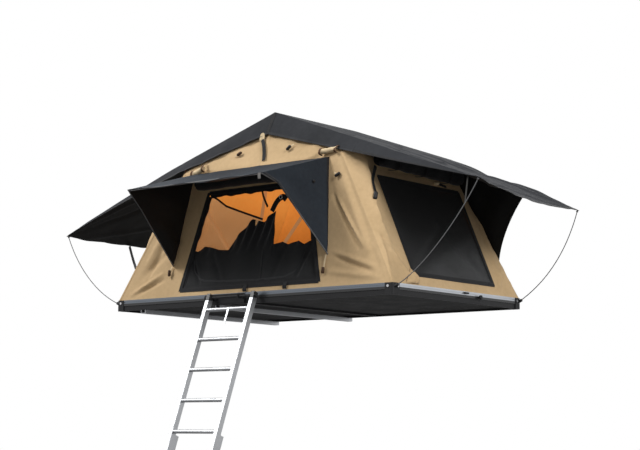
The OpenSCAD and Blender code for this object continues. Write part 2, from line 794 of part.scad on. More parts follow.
// mounting rails under the fixed half: open channels with bolt holes
module mounting_rails() {
  color([0.72, 0.73, 0.75])
    place()
      for (s = [-1, 1])
        translate([-deck_half / 2 + s * rail_span / 2, 0, -deck_t - rail_h])
          difference() {
            translate([-rail_w / 2, -half_w + 6, 0])
              cube([rail_w, deck_w - 12, rail_h]);
            translate([-rail_w / 2 + rail_wall, -half_w, rail_wall])
              cube([rail_w - 2 * rail_wall, deck_w, rail_h]);
            for (y = [-1, 1])
              translate([0, y * hole_span / 2, -1])
                cylinder(h = rail_wall + 2, r = hole_r);
          }
}

module fixed_floor() {
  color([0.1, 0.1, 0.1])
    place()
      left()
        floor_half();
}

module fixed_edge() {
  color([0.76, 0.78, 0.8])
    place()
      left()
        edge_half();
}

module fixed_ring() {
  color([0.06, 0.06, 0.06])
    place()
      left()
        ring_half();
}

module fixed_corner_caps() {
  color([0.05, 0.05, 0.05])
    place()
      left()
        both_y()
          cap_one();
}

module fixed_cap_bolts() {
  color([0.8, 0.8, 0.82])
    place()
      left()
        both_y()
          cap_bolts();
}

module fixed_hinge_plates() {
  color([0.15, 0.15, 0.16])
    place()
      left()
        both_y()
          plate_one(leaf_a, pin_r + 0.02);
}

// hinge pins: head outside, collar inside the ridge bow's eye
module hinge_pins() {
  color([0.7, 0.7, 0.72])
    place()
      both_y() {
        bow_pin(0, hinge_h, leaf_a);
        y_pin(0, -leaf_a - 4, hinge_h, 4, pin_r + 4);
      }
}

module fixed_bow_pins() {
  color([0.7, 0.7, 0.72])
    place()
      left()
        both_y()
          bow_pin(bow_px, bow_z, leaf_a);
}

module fixed_mattress() {
  color([0.55, 0.56, 0.58])
    place()
      left()
        mattress_half();
}

// bracket on the fixed half's front edge: back plate with three ears for the hinge rod
module ladder_bracket() {
  color([0.06, 0.06, 0.06])
    place()
      difference() {
        union() {
          translate([lad_x - lad_w / 2 - 42, -half_w - 4, -deck_t])
            cube([-lad_x + lad_w / 2 + 42 - 8, 4, deck_t - 4]);
          for (x = [lad_x - lad_w / 2 - lad_rx / 2 - 7, lad_x - lad_w / 2 + lad_rx / 2 + 1, -20])
            translate([x, -half_w - lad_off - 16, -lad_dz - 14])
              cube([6, lad_off + 15, 28]);
        }
        translate([lad_x - lad_w, -half_w - lad_off, -lad_dz])
          rotate([0, 90, 0])
            cylinder(h = 2 * lad_w, r = lad_pin + 0.02);
      }
}

// hinge rod of the ladder, with a knob at its left end
module ladder_hinge_rod() {
  color([0.3, 0.3, 0.32])
    place()
      translate([lad_x - lad_w / 2 - lad_rx / 2 - 13, -half_w - lad_off, -lad_dz])
        rotate([0, 90, 0]) {
          cylinder(h = lad_w + lad_rx + 13 + 8, r = lad_pin);
          translate([0, 0, -8])
            cylinder(h = 13.5, r = lad_pin + 9);
          translate([0, 0, lad_w + lad_rx + 13 + 1])
            cylinder(h = 7, r = lad_pin + 5);
        }
}

module folding_floor() {
  color([0.1, 0.1, 0.1])
    place()
      floor_half();
}

module folding_edge() {
  color([0.76, 0.78, 0.8])
    place()
      edge_half();
}

module folding_ring() {
  color([0.06, 0.06, 0.06])
    place()
      ring_half();
}

module folding_corner_caps() {
  color([0.05, 0.05, 0.05])
    place()
      both_y()
        cap_one();
}

module folding_cap_bolts() {
  color([0.8, 0.8, 0.82])
    place()
      both_y()
        cap_bolts();
}

module folding_hinge_plates() {
  color([0.15, 0.15, 0.16])
    place()
      both_y()
        plate_one(leaf_b, pin_r + 0.02);
}

module folding_bow_pins() {
  color([0.7, 0.7, 0.72])
    place()
      both_y()
        bow_pin(bow_px, bow_z, leaf_b);
}

module folding_mattress() {
  color([0.55, 0.56, 0.58])
    place()
      mattress_half();
}

// knob and toggle on the folding half's end rail
module end_rail_fittings() {
  color([0.08, 0.08, 0.08])
    place() {
      translate([deck_half, half_w * 0.3, -edge_h * 0.72])
        rotate([0, 90, 0]) {
          cylinder(h = 10, r = 7);
          translate([0, 0, 10])
            cylinder(h = 12, r = 13);
        }
      translate([deck_half, half_w * 0.06, -edge_h * 0.42])
        cube([9, 46, 11]);
    }
}

module left_bow() {
  color([0.7, 0.72, 0.74])
    place()
      left()
        side_bow();
}

module ridge_bow() {
  color([0.7, 0.72, 0.74])
    place() {
      both_y()
        bow_side([[0, -leg_y, hinge_h], ridge_c]);
      y_pin(0, -ridge_half, ridge_c[2], 2 * ridge_half, bow_r);
    }
}

module right_bow() {
  color([0.7, 0.72, 0.74])
    place()
      side_bow();
}

module front_wall() {
  color([0.74, 0.6, 0.4])
    place()
      front_canvas();
}

module back_wall() {
  color([0.74, 0.6, 0.4])
    place()
      mirror([0, 1, 0])
        front_canvas();
}

module left_wall() {
  color([0.74, 0.6, 0.4])
    place()
      left()
        end_canvas();
}

module right_wall() {
  color([0.74, 0.6, 0.4])
    place()
      end_canvas();
}

module left_roof() {
  color([0.74, 0.6, 0.4])
    place()
      left()
        roof_half();
}

module right_roof() {
  color([0.74, 0.6, 0.4])
    place()
      roof_half();
}

module front_binding() {
  color([0.05, 0.05, 0.05])
    place()
      door_binding();
}

module back_binding() {
  color([0.05, 0.05, 0.05])
    place()
      mirror([0, 1, 0])
        door_binding();
}

module left_binding() {
  color([0.05, 0.05, 0.05])
    place()
      left()
        window_binding();
}

module right_binding() {
  color([0.05, 0.05, 0.05])
    place()
      window_binding();
}

module front_door_panel() {
  color([0.07, 0.07, 0.07])
    place()
      drop_panel();
}

module front_door_mesh() {
  color([0.45, 0.3, 0.18])
    place()
      door_mesh();
}

module back_door_panel() {
  color([0.74, 0.6, 0.4])
    place()
      mirror([0, 1, 0])
        door_fill();
}

module left_window_panel() {
  color([0.74, 0.6, 0.4])
    place()
      left()
        window_fill();
}

module right_window_mesh() {
  color([0.17, 0.17, 0.18])
    place()
      window_fill();
}

module left_fly() {
  color([0.22, 0.23, 0.24])
    place()
      left()
        fly_half();
}

module right_fly() {
  color([0.22, 0.23, 0.24])
    place()
      fly_half();
}

module left_wing() {
  color([0.2, 0.21, 0.22])
    place()
      left()
        wing_half_fly();
}

module right_wing() {
  color([0.2, 0.21, 0.22])
    place()
      wing_half_fly();
}

module left_wing_rods() {
  color([0.82, 0.83, 0.84])
    place()
      left()
        both_y()
          rod_one();
}

module right_wing_rods() {
  color([0.82, 0.83, 0.84])
    place()
      both_y()
        rod_one();
}

module front_hood() {
  color([0.18, 0.2, 0.23])
    place()
      hood_sheet();
}

module back_hood() {
  color([0.18, 0.2, 0.23])
    place()
      mirror([0, 1, 0])
        hood_sheet();
}

module front_hoop() {
  color([0.6, 0.6, 0.62])
    place()
      hood_hoop();
}

module back_hoop() {
  color([0.6, 0.6, 0.62])
    place()
      mirror([0, 1, 0])
        hood_hoop();
}

// upper rails with the holes for the hinge rod
module ladder_upper_rails() {
  color([0.85, 0.86, 0.87])
    place()
      ladder_place()
        difference() {
          for (s = [-1, 1])
            lad_rail(s * lad_w / 2, 0, 22, lad_rx, lad_ry, lad_len + 22);
          translate([-lad_w, 0, 0])
            rotate([0, 90, 0])
              cylinder(h = 2 * lad_w, r = lad_pin + pin_gap);
        }
}

// rungs of the upper section, between its rails
module ladder_upper_rungs() {
  color([0.85, 0.86, 0.87])
    place()
      ladder_place()
        for (i = [0:4])
          translate([-lad_w / 2 + lad_rx / 2, -lad_ry / 2 + rung_r + 2, 5 - rung_end - i * rung_p])
            rotate([0, 90, 0])
              cylinder(h = lad_w - lad_rx, r = rung_r);
}

// one guide, at the foot of the right-hand upper rail: hooked round the lower rail from outside
module guide_one() {
  g = lad_gap;
  translate([lad_w / 2, 0, -lad_len + 20])
    difference() {
      translate([-lad_rx / 2, lad_ry / 2 - 14, 0])
        cube([lad_rx + 4, low_ry + 14 + g * 2 + 4, 46]);
      translate([-lad_rx / 2, -lad_ry / 2, -1])
        cube([lad_rx, lad_ry, 48]);
      translate([-lad_rx, lad_ry / 2 - 1, -1])
        cube([lad_rx + low_rx / 2 + g, low_ry + 2 * g + 1, 48]);
    }
}

// guides of the sliding section, one on each upper rail
module ladder_guides() {
  color([0.06, 0.06, 0.06])
    place()
      ladder_place() {
        guide_one();
        left()
          guide_one();
      }
}

// flat pull that hangs from the top rung
module ladder_pull() {
  color([0.85, 0.86, 0.87])
    place()
      ladder_place()
        translate([10, -lad_ry / 2 - 1, 5 - rung_end - rung_r - 96])
          difference() {
            cube([15, 3, 112]);
            translate([7.5, -1, 12])
              rotate([-90, 0, 0])
                cylinder(h = 5, r = 4);
          }
}

// lower rails, behind the upper ones
module ladder_lower_rails() {
  color([0.85, 0.86, 0.87])
    place()
      ladder_place()
        for (s = [-1, 1])
          lad_rail(s * lad_w / 2, low_y, -low_top, low_rx, low_ry, lad_len);
}

// rungs of the lower section
module ladder_lower_rungs() {
  color([0.85, 0.86, 0.87])
    place()
      ladder_place()
        for (i = [0:4])
          translate([-lad_w / 2 + low_rx / 2, low_y, -low_top - lad_len + rung_end + i * rung_p])
            rotate([0, 90, 0])
              cylinder(h = lad_w - low_rx, r = rung_r);
}

// rubber feet plugged into the lower rails
module ladder_feet() {
  w = low_rx - 2 * lad_wall;
  d = low_ry - 2 * lad_wall;
  color([0.05, 0.05, 0.05])
    place()
      ladder_place()
        for (s = [-1, 1])
          translate([s * lad_w / 2, low_y, -low_top - lad_len]) {
            translate([-w / 2, -d / 2, 0])
              cube([w, d, 40]);
            translate([-low_rx / 2 - 2, -low_ry / 2 + 0.1, -foot_h])
              cube([low_rx + 4, low_ry + 4, foot_h]);
          }
}

mounting_rails();
fixed_floor();
fixed_edge();
fixed_ring();
fixed_corner_caps();
fixed_cap_bolts();
fixed_hinge_plates();
hinge_pins();
fixed_bow_pins();
fixed_mattress();
ladder_bracket();
ladder_hinge_rod();
folding_floor();
folding_edge();
folding_ring();
folding_corner_caps();
folding_cap_bolts();
folding_hinge_plates();
folding_bow_pins();
folding_mattress();
end_rail_fittings();
left_bow();
ridge_bow();
right_bow();
front_wall();
back_wall();
left_wall();
right_wall();
left_roof();
right_roof();
front_binding();
back_binding();
left_binding();
right_binding();
front_door_panel();
front_door_mesh();
back_door_panel();
left_window_panel();
right_window_mesh();
left_fly();
right_fly();
left_wing();
right_wing();
left_wing_rods();
right_wing_rods();
front_hood();
back_hood();
front_hoop();
back_hoop();
ladder_upper_rails();
ladder_upper_rungs();
ladder_guides();
ladder_pull();
ladder_lower_rails();
ladder_lower_rungs();
ladder_feet();
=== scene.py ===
import math
import bpy
import numpy as np
from mathutils import Matrix, Vector


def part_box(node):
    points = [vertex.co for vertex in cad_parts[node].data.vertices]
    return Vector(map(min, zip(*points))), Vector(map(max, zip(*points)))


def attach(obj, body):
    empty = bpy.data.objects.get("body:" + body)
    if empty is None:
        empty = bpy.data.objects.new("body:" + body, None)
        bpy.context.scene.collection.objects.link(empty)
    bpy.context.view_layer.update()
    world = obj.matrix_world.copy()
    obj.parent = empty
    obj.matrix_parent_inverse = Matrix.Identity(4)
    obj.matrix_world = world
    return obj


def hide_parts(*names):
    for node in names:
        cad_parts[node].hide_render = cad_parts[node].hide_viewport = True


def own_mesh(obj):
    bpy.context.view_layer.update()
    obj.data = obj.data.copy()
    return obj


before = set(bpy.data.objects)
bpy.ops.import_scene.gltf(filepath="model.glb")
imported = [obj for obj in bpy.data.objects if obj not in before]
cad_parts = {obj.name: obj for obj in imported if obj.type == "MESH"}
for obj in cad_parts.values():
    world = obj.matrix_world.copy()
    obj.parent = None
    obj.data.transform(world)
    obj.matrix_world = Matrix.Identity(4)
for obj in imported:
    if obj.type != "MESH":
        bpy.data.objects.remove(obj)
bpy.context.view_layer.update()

# Camera: stands off the front right corner, lower than the base, and looks slightly up.
# Its place and lens follow from the base corners, the ridge, the hood and the wing tips.
yaw, pitch, roll = (math.radians(angle) for angle in (39.81, 7.41, 0.46))
focal_px, picture_px, sensor = 1658.33, 640, 36
look = Vector((-math.sin(yaw) * math.cos(pitch), math.cos(yaw) * math.cos(pitch), math.sin(pitch)))
level = Vector((math.cos(yaw), math.sin(yaw), 0))
upright = level.cross(look)
across_view = level * math.cos(roll) + upright * math.sin(roll)
up_view = upright * math.cos(roll) - level * math.sin(roll)
bpy.ops.object.select_all(action="DESELECT")
bpy.ops.object.camera_add(location=(7.8281, -8.6245, -0.853))
camera = bpy.context.object
turn = Matrix((across_view, up_view, -look)).transposed().to_4x4()
camera.matrix_world = Matrix.Translation(camera.location) @ turn
camera.data.sensor_width = sensor
camera.data.lens = focal_px / picture_px * sensor
camera.data.clip_end = 200
bpy.context.scene.camera = camera


# Studio: a pale floor at the ladder's feet, a white surround and soft light from in front.
# The surround and the floor look white to the camera, and light the tent more gently than that.
def wire(tree, item, feeds):
    """Links or sets a node's inputs."""
    for key, value in feeds.items():
        if isinstance(value, bpy.types.NodeSocket):
            tree.links.new(value, item.inputs[key])
        else:
            item.inputs[key].default_value = value
    return item


def node(tree, kind, feeds, **settings):
    """Adds a shader node with its settings and inputs, and gives its outputs."""
    made = tree.nodes.new("ShaderNode" + kind)
    for key, value in settings.items():
        setattr(made, key, value)
    return wire(tree, made, feeds).outputs


def sums(tree, operation, a, b=0.0):
    """One step of arithmetic on masks."""
    return node(tree, "Math", {0: a, 1: b}, operation=operation)[0]


def two_hues(tree, mask, low, high):
    """A colour between two, each a plain colour or another node's output."""
    low, high = ((*hue, 1) if isinstance(hue, tuple) else hue for hue in (low, high))
    return node(tree, "Mix", {0: mask, 6: low, 7: high}, data_type="RGBA")[2]


def noise(tree, place, scale, detail=2.0):
    """Soft noise over the surface."""
    return node(tree, "TexNoise", {"Vector": place, "Scale": scale, "Detail": detail})["Fac"]


def new_finish(name):
    """A material, its node tree and its shader."""
    made = bpy.data.materials.new(name)
    made.use_nodes = True
    return made, made.node_tree, made.node_tree.nodes["Principled BSDF"]


scene = bpy.context.scene
scene.view_settings.view_transform = "Standard"
floor_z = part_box("ladder_feet")[0].z
bpy.ops.mesh.primitive_circle_add(vertices=96, radius=26, fill_type="NGON", location=(0.6, 0, floor_z))
studio_floor = bpy.context.object
studio_floor.name = "studio_floor"
bpy.ops.object.transform_apply(location=True, rotation=False, scale=False)
floor_paint, tree, shader = new_finish("floor_paint")
grain = noise(tree, node(tree, "TexCoord", {})["Object"], 3.0)
tint = two_hues(tree, grain, (0.72, 0.72, 0.72), (0.78, 0.78, 0.78))
to_camera = node(tree, "LightPath", {})["Is Camera Ray"]
wire(tree, shader, {"Base Color": two_hues(tree, to_camera, (0.16, 0.16, 0.16), tint), "Roughness": 0.9})
studio_floor.data.materials.append(floor_paint)

sky = bpy.data.worlds.new("surround")
sky.use_nodes = True
air = sky.node_tree
rays = node(air, "LightPath", {})
seen = sums(air, "MAXIMUM", rays["Is Camera Ray"], rays["Is Glossy Ray"])
shown = sums(air, "MAXIMUM", seen, rays["Is Transmission Ray"])
strength = node(air, "Mix", {0: shown, 2: 0.36, 3: 1.0})[0]
wire(air, air.nodes["Background"], {"Strength": strength, "Color": (1, 1, 1, 1)})
scene.world = sky
for lamp_name, energy, spread, tilt in (
    ("key", 2.75, 18, (46, 0, -40)), ("fill", 2.1, 24, (66, 0, 74)), ("back", 0.5, 60, (60, 0, 200)),
):
    bpy.ops.object.light_add(type="SUN", rotation=[math.radians(angle) for angle in tilt])
    lamp = bpy.context.object
    lamp.name = lamp_name + "_light"
    lamp.data.energy = energy
    lamp.data.angle = math.radians(spread)


# Metal base: edge extrusions, bright at the ends and painted a darker blue-grey along the long sides, as
# painted shade; below the bright top lip they are painted black, as painted shade.
# The base halves are extruded, cut and bolted through moulded corner caps.
def group(name, inputs, outputs):
    """A node group with named sockets, all of them values but for the vector Streak."""
    made = bpy.data.node_groups.new(name, "ShaderNodeTree")
    for way, sockets in (("INPUT", inputs), ("OUTPUT", outputs)):
        for socket in sockets:
            kind = "NodeSocketVector" if socket == "Streak" else "NodeSocketFloat"
            made.interface.new_socket(socket, in_out=way, socket_type=kind)
    return made, made.nodes.new("NodeGroupInput").outputs, made.nodes.new("NodeGroupOutput")


def ramp(tree, value, low, high, to_low=0.0, to_high=1.0):
    """A value spread from one range to another."""
    return node(tree, "MapRange", {0: value, 1: low, 2: high, 3: to_low, 4: to_high})[0]


wear, inside, outside = group("wear", ("Streak", "Low", "High"), ("Roughness", "Patch", "Height"))
place = node(wear, "TexCoord", {})["Object"]
drawn = node(wear, "VectorMath", {0: place, 1: inside["Streak"]}, operation="MULTIPLY")[0]
streaks, patches = noise(wear, drawn, 1.0, 4.0), noise(wear, place, 7.0, 3.0)
uneven = node(wear, "Mix", {0: 0.5, 2: streaks, 3: patches})[0]
worn_rough = ramp(wear, uneven, 0.3, 0.7, inside["Low"], inside["High"])
wire(wear, outside, {"Roughness": worn_rough, "Patch": patches, "Height": streaks})


def hard_finish(name, light, dark, rough, streak, metallic=1.0, bump=0.1):
    """A metal or moulded finish: two close colours, worn roughness and a fine surface."""
    made, tree, shader = new_finish(name)
    streak = streak if isinstance(streak, tuple) else (streak, streak, streak)
    worn = node(tree, "Group", {"Streak": streak, "Low": rough[0], "High": rough[1]}, node_tree=wear)
    fine = node(tree, "Bump", {"Height": worn["Height"], "Strength": bump, "Distance": 0.0006})[0]
    wire(tree, shader, {
        "Base Color": two_hues(tree, worn["Patch"], dark, light), "Roughness": worn["Roughness"],
        "Normal": fine, "Metallic": metallic, "Specular IOR Level": 0.5 if metallic else 0.2})
    return made


def open_up(finish):
    """A finish's node tree and shader, and what its colour comes from so far."""
    shader = finish.node_tree.nodes["Principled BSDF"]
    return finish.node_tree, shader, shader.inputs["Base Color"].links[0].from_socket


def paint_nodes(finish, *names):
    """Gives CAD nodes their finish."""
    for name in names:
        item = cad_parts[name]
        item.data.materials.clear()
        item.data.materials.append(finish)


def place_on(tree, axis):
    """The Object coordinate along one axis."""
    return node(tree, "SeparateXYZ", {0: node(tree, "TexCoord", {})["Object"]})[axis]


def step_up(tree, edge, over):
    """A mask on Object height: 0 below the edge and 1 just above it."""
    return ramp(tree, place_on(tree, "Z"), edge, edge + over)


# A near black, for black parts and for the painted shade under the edge's top lip.
black_and_painted_shade = (0.012, 0.012, 0.013)
lip_high, long_side_y, crisp = 0.024, 0.690, 0.001
edge_finish = hard_finish(
    "edge_painted_shade", (0.56, 0.58, 0.61), (0.40, 0.42, 0.45), (0.26, 0.44), (3, 260, 260))
tree, shader, bare_hue = open_up(edge_finish)
# Painted shade: below the lit top lip the edge is painted black and not metallic, standing for the shadowed
# lower part.
lip_over_painted_shade = step_up(tree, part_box("fixed_edge")[1].z - lip_high, crisp)
# Painted shade: the long sides are painted a darker blue-grey, standing for their duller reflection.
long_sides_painted_shade = sums(tree, "GREATER_THAN", sums(tree, "ABSOLUTE", place_on(tree, "Y")), long_side_y)
silver_and_painted_shade = two_hues(tree, long_sides_painted_shade, bare_hue, (0.155, 0.172, 0.196))
wire(tree, shader, {"Base Color": two_hues(tree, lip_over_painted_shade, black_and_painted_shade, silver_and_painted_shade), "Metallic": lip_over_painted_shade})
paint_nodes(edge_finish, "fixed_edge", "folding_edge")
paint_nodes(
    hard_finish("satin_aluminium", (0.52, 0.53, 0.55), (0.38, 0.39, 0.41), (0.3, 0.48), (3, 260, 260)),
    "mounting_rails")
paint_nodes(
    hard_finish("zinc_steel", (0.72, 0.72, 0.73), (0.5, 0.5, 0.52), (0.25, 0.5), 120),
    "fixed_cap_bolts", "folding_cap_bolts", "hinge_pins", "fixed_bow_pins", "folding_bow_pins")
paint_nodes(
    hard_finish(
        "black_powder_coat", (0.016, 0.016, 0.017), (0.008, 0.008, 0.009), (0.4, 0.6), 500, 0.0, 0.25),
    "fixed_ring", "folding_ring", "fixed_hinge_plates", "folding_hinge_plates", "ladder_bracket")
paint_nodes(
    hard_finish("black_moulding", (0.018, 0.018, 0.019), (0.010, 0.010, 0.011), (0.45, 0.68), 800, 0.0, 0.3),
    "fixed_corner_caps", "folding_corner_caps", "end_rail_fittings", "ladder_guides", "ladder_hinge_rod")
paint_nodes(
    hard_finish("floor_skin", (0.014, 0.014, 0.015), (0.007, 0.007, 0.008), (0.55, 0.8), 60, 0.0, 0.2),
    "fixed_floor", "folding_floor")
paint_nodes(
    hard_finish("foot_rubber", (0.024, 0.023, 0.022), (0.012, 0.012, 0.012), (0.7, 0.9), 300, 0.0, 0.4),
    "ladder_feet")

# Ladder: anodised box rails with round rungs, the lower section sliding behind the upper one.
# It is brighter than the base edge and lightly scuffed on the treads; the upper rails end in black caps.
cap_high = 0.046
ladder_bright = hard_finish(
    "ladder_aluminium", (0.52, 0.53, 0.54), (0.42, 0.43, 0.45), (0.28, 0.46), (260, 260, 6))
tree, shader, bare_hue = open_up(ladder_bright)
end_cap = step_up(tree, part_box("ladder_upper_rails")[1].z - cap_high, crisp)
wire(tree, shader, {
    "Base Color": two_hues(tree, end_cap, bare_hue, black_and_painted_shade), "Metallic": sums(tree, "SUBTRACT", 1.0, end_cap)})
paint_nodes(ladder_bright, "ladder_upper_rails", "ladder_lower_rails", "ladder_pull")
paint_nodes(
    hard_finish("rung_aluminium", (0.54, 0.55, 0.56), (0.40, 0.41, 0.43), (0.3, 0.5), (6, 260, 260)),
    "ladder_upper_rungs", "ladder_lower_rungs")

# Front canvas: tan polycotton with the door cut in it, stretched over the bows and clamped to the base.
# One flat panel up to the shoulders, then a gable that leans back to the ridge.
# Places are measured from the middle of the base's top, at the hinge.
hinge = np.array([0.6, 0.0, 0.098], np.float32)
foot = (1.190, -0.692, 0.0)
shoulder = (0.6954, -0.574, 0.8573)
eave = (0.7693, -0.4644, 0.9537)
ridge = (0.0, -0.4193, 1.2273)
front_lean = (shoulder[1] - foot[1]) / shoulder[2]
canvas_thick = 0.0014
smooth_angle = math.radians(40)

weave, inside, outside = group("weave", ("Threads",), ("Height", "Blotch"))
coords = node(weave, "TexCoord", {})
thread_place = node(weave, "VectorMath", {0: coords["UV"], "Scale": inside["Threads"]}, operation="SCALE")[0]
thread_run = {"Vector": thread_place, "Scale": 1.0, "Distortion": 0.6}
warp, weft = (node(weave, "TexWave", thread_run, bands_direction=way)["Fac"] for way in "XY")
broad, slub = noise(weave, coords["Object"], 2.3, 5.0), noise(weave, coords["Object"], 38.0)
dye = node(weave, "Mix", {0: 0.3, 2: broad, 3: slub})[0]
wire(weave, outside, {"Height": sums(weave, "MULTIPLY", warp, weft), "Blotch": ramp(weave, dye, 0.32, 0.68)})


def cloth_finish(name, light, dark, threads, rough=0.85, sheen=0.1, lit=0.0, bump=0.35):
    """Woven cloth: blotched, with a thread bump; where lit is given it has a painted glow of daylight
    through it, dimmer low down.
    """
    made, tree, shader = new_finish(name)
    woven = node(tree, "Group", {"Threads": threads}, node_tree=weave)
    hue = two_hues(tree, woven["Blotch"], dark, light)
    thread = node(tree, "Bump", {"Height": woven["Height"], "Strength": bump, "Distance": 0.0004})[0]
    wire(tree, shader, {
        "Base Color": hue, "Normal": thread, "Roughness": rough, "Specular IOR Level": 0.14,
        "Sheen Weight": sheen, "Sheen Roughness": 0.5})
    if lit:
        glow = two_hues(tree, step_up(tree, 0.56, 0.32), tuple(c * 0.5 for c in dark), hue)
        wire(tree, shader, {"Emission Color": glow, "Emission Strength": lit})
    return made


canvas = cloth_finish("tan_canvas", (0.575, 0.405, 0.225), (0.46, 0.32, 0.17), 330)
# Painted light: the inside of the canvas is orange and glows, standing for daylight shining through the tan
# cloth.
lit_canvas = cloth_finish("daylit_canvas", (0.70, 0.31, 0.064), (0.58, 0.235, 0.042), 330, lit=0.64)
canvas_and_painted_glow = (canvas, lit_canvas)
cut_size = {}


def points(mesh):
    """A mesh's points, one to a row."""
    flat = np.zeros(len(mesh.vertices) * 3, np.float32)
    mesh.vertices.foreach_get("co", flat)
    return flat.reshape(-1, 3)


def move_points(mesh, spots):
    """Puts a mesh's points in their places."""
    mesh.vertices.foreach_set("co", spots.astype(np.float32).ravel())
    mesh.update()


def lay(name, across, along, spot, outward):
    """A flat grid of cloth whose points are moved to spot(u, v), its faces turned outward."""
    bpy.ops.object.select_all(action="DESELECT")
    bpy.ops.mesh.primitive_grid_add(x_subdivisions=across, y_subdivisions=along, size=1)
    made = bpy.context.object
    made.name = made.data.name = name
    u, v, _ = (points(made.data) + 0.5).T
    spots = np.stack(np.broadcast_arrays(*spot(u, v)), axis=1).astype(np.float32) + hinge
    grid = spots[np.lexsort((u, np.round(v * along)))].reshape(along + 1, across + 1, 3)
    size = [float(np.linalg.norm(np.diff(grid, axis=way), axis=2).sum(way).max()) for way in (1, 0)]
    cut_size[name] = size
    move_points(made.data, spots)
    threads = made.data.uv_layers.active.data
    stretch = np.zeros(len(threads) * 2, np.float32)
    threads.foreach_get("uv", stretch)
    threads.foreach_set("uv", (stretch.reshape(-1, 2) * size).astype(np.float32).ravel())
    facing = np.zeros(len(made.data.polygons) * 3, np.float32)
    made.data.polygons.foreach_get("normal", facing)
    if (facing.reshape(-1, 3) @ np.array(outward, np.float32)).sum() < 0:
        made.data.flip_normals()
    return made


def only(item):
    """Selects one object and makes it active."""
    bpy.ops.object.select_all(action="DESELECT")
    item.select_set(True)
    bpy.context.view_layer.objects.active = item


def weld(item, reach):
    """Merges the points that lie within reach of each other."""
    only(item)
    bpy.ops.object.mode_set(mode="EDIT")
    bpy.ops.mesh.select_all(action="SELECT")
    bpy.ops.mesh.remove_doubles(threshold=reach)
    bpy.ops.object.mode_set(mode="OBJECT")


def slit(item, planes, keep_front=False):
    """Cuts a sheet along planes, and can drop what lies behind each."""
    only(item)
    bpy.ops.object.mode_set(mode="EDIT")
    for point, normal in planes:
        bpy.ops.mesh.select_all(action="SELECT")
        bpy.ops.mesh.bisect(plane_co=point, plane_no=normal, clear_inner=keep_front)
    bpy.ops.object.mode_set(mode="OBJECT")


def part_size(item):
    """Width and length of one part of a cut sheet."""
    spots = points(item.data).astype(float)
    spots = spots - spots.mean(0)
    reach = np.ptp(spots @ np.linalg.svd(spots, full_matrices=False)[2].T, axis=0)
    return float(reach[0]), float(reach[1])


def carry(item, fold, nodes=()):
    """Hangs a piece on its body, so it folds away with the base, and hides the nodes it stands for."""
    body, axis, anchor, keep = fold
    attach(item, body)
    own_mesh(item)
    if nodes:
        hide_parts(*nodes)


def finish_cloth(item, size, thick, fold, nodes):
    """Gives a sheet its thickness inwards, with its lining's finish there; the flat size it is given is not
    used.
    """
    only(item)
    layer = item.modifiers.new("thickness", "SOLIDIFY")
    layer.thickness, layer.offset = thick, -1
    layer.material_offset = len(item.data.materials) - 1
    bpy.ops.object.modifier_apply(modifier=layer.name)
    bpy.ops.object.shade_smooth_by_angle(angle=smooth_angle)
    carry(item, fold, nodes)


lean = math.radians(51.1)
left_bow_pin, right_bow_pin = Vector((0.53, 0, 0.183)), Vector((0.67, 0, 0.183))
left_plane, right_plane = (Vector((way * math.sin(lean), 0, math.cos(lean))) for way in (1, -1))
middle, leftward, rightward = Vector((hinge[0], 0, 0)), Vector((-1, 0, 0)), Vector((1, 0, 0))
base_top, upward = Vector(hinge), Vector((0, 0, 1))
wall_keep, bow_keep, part_lap = 0.08, 0.04, 0.0015
fixed_fold = ("fixed_deck", upward, base_top, wall_keep)
folding_fold = ("folding_deck", upward, base_top, wall_keep)
left_bow_fold = ("left_bow", left_plane, left_bow_pin, bow_keep)
right_bow_fold = ("right_bow", right_plane, right_bow_pin, bow_keep)
sectors = (
    ("left_low", ((left_bow_pin, -left_plane), (middle, leftward)), fixed_fold),
    ("left_high", ((left_bow_pin, left_plane), (middle, leftward)), left_bow_fold),
    ("right_high", ((right_bow_pin, right_plane), (middle, rightward)), right_bow_fold),
    ("right_low", ((right_bow_pin, -right_plane), (middle, rightward)), folding_fold),
)


def sew(item, finishes, thick, fold, nodes=()):
    """Finishes a sheet; one that folds by sectors is parted along the bows, so each part folds alone."""
    for finish in finishes:
        item.data.materials.append(finish)
    if fold is not sectors:
        finish_cloth(item, cut_size.get(item.name), thick, fold, nodes)
        return
    for part, planes, part_fold in sectors:
        piece = item.copy()
        piece.data = item.data.copy()
        piece.name = piece.data.name = item.name + "_" + part
        bpy.context.collection.objects.link(piece)
        slit(piece, [(point - normal * part_lap, normal) for point, normal in planes], keep_front=True)
        if len(piece.data.polygons) < 4:
            bpy.data.objects.remove(piece)
            continue
        finish_cloth(piece, part_size(piece), thick, part_fold, nodes)
    bpy.data.objects.remove(item)


def crease(p, q, start, end, wide, deep):
    """A soft ridge or groove drawn on a sheet from start to end, fading at both."""
    ax, az = start
    dx, dz = end[0] - ax, end[1] - az
    length = math.hypot(dx, dz)
    t = ((p - ax) * dx + (q - az) * dz) / length ** 2
    off = ((p - ax) * dz - (q - az) * dx) / length
    fade = np.clip(t, 0, 1) * np.clip(1 - t, 0, 1) * 4
    return deep * np.sqrt(np.clip(fade, 0, 1)) * np.exp(-(off / wide) ** 2) * ((t > 0) & (t < 1))


def creased(p, q, creases):
    """All the creases of a sheet together."""
    return sum(crease(p, q, *one) for one in creases)


def ripple(p, q, size, seed):
    """Slight unevenness of hung cloth, a sum of a few long waves."""
    total = 0
    for i in range(6):
        way = seed * 1.7 + i * 2.4
        step = (2.1 + 1.3 * i) * (1 + 0.07 * seed)
        run = (p * math.cos(way) + q * math.sin(way)) * step * 3.1
        total = total + np.sin(run + seed * 2.3 + i) / (1 + 0.6 * i)
    return size * total / 2.4


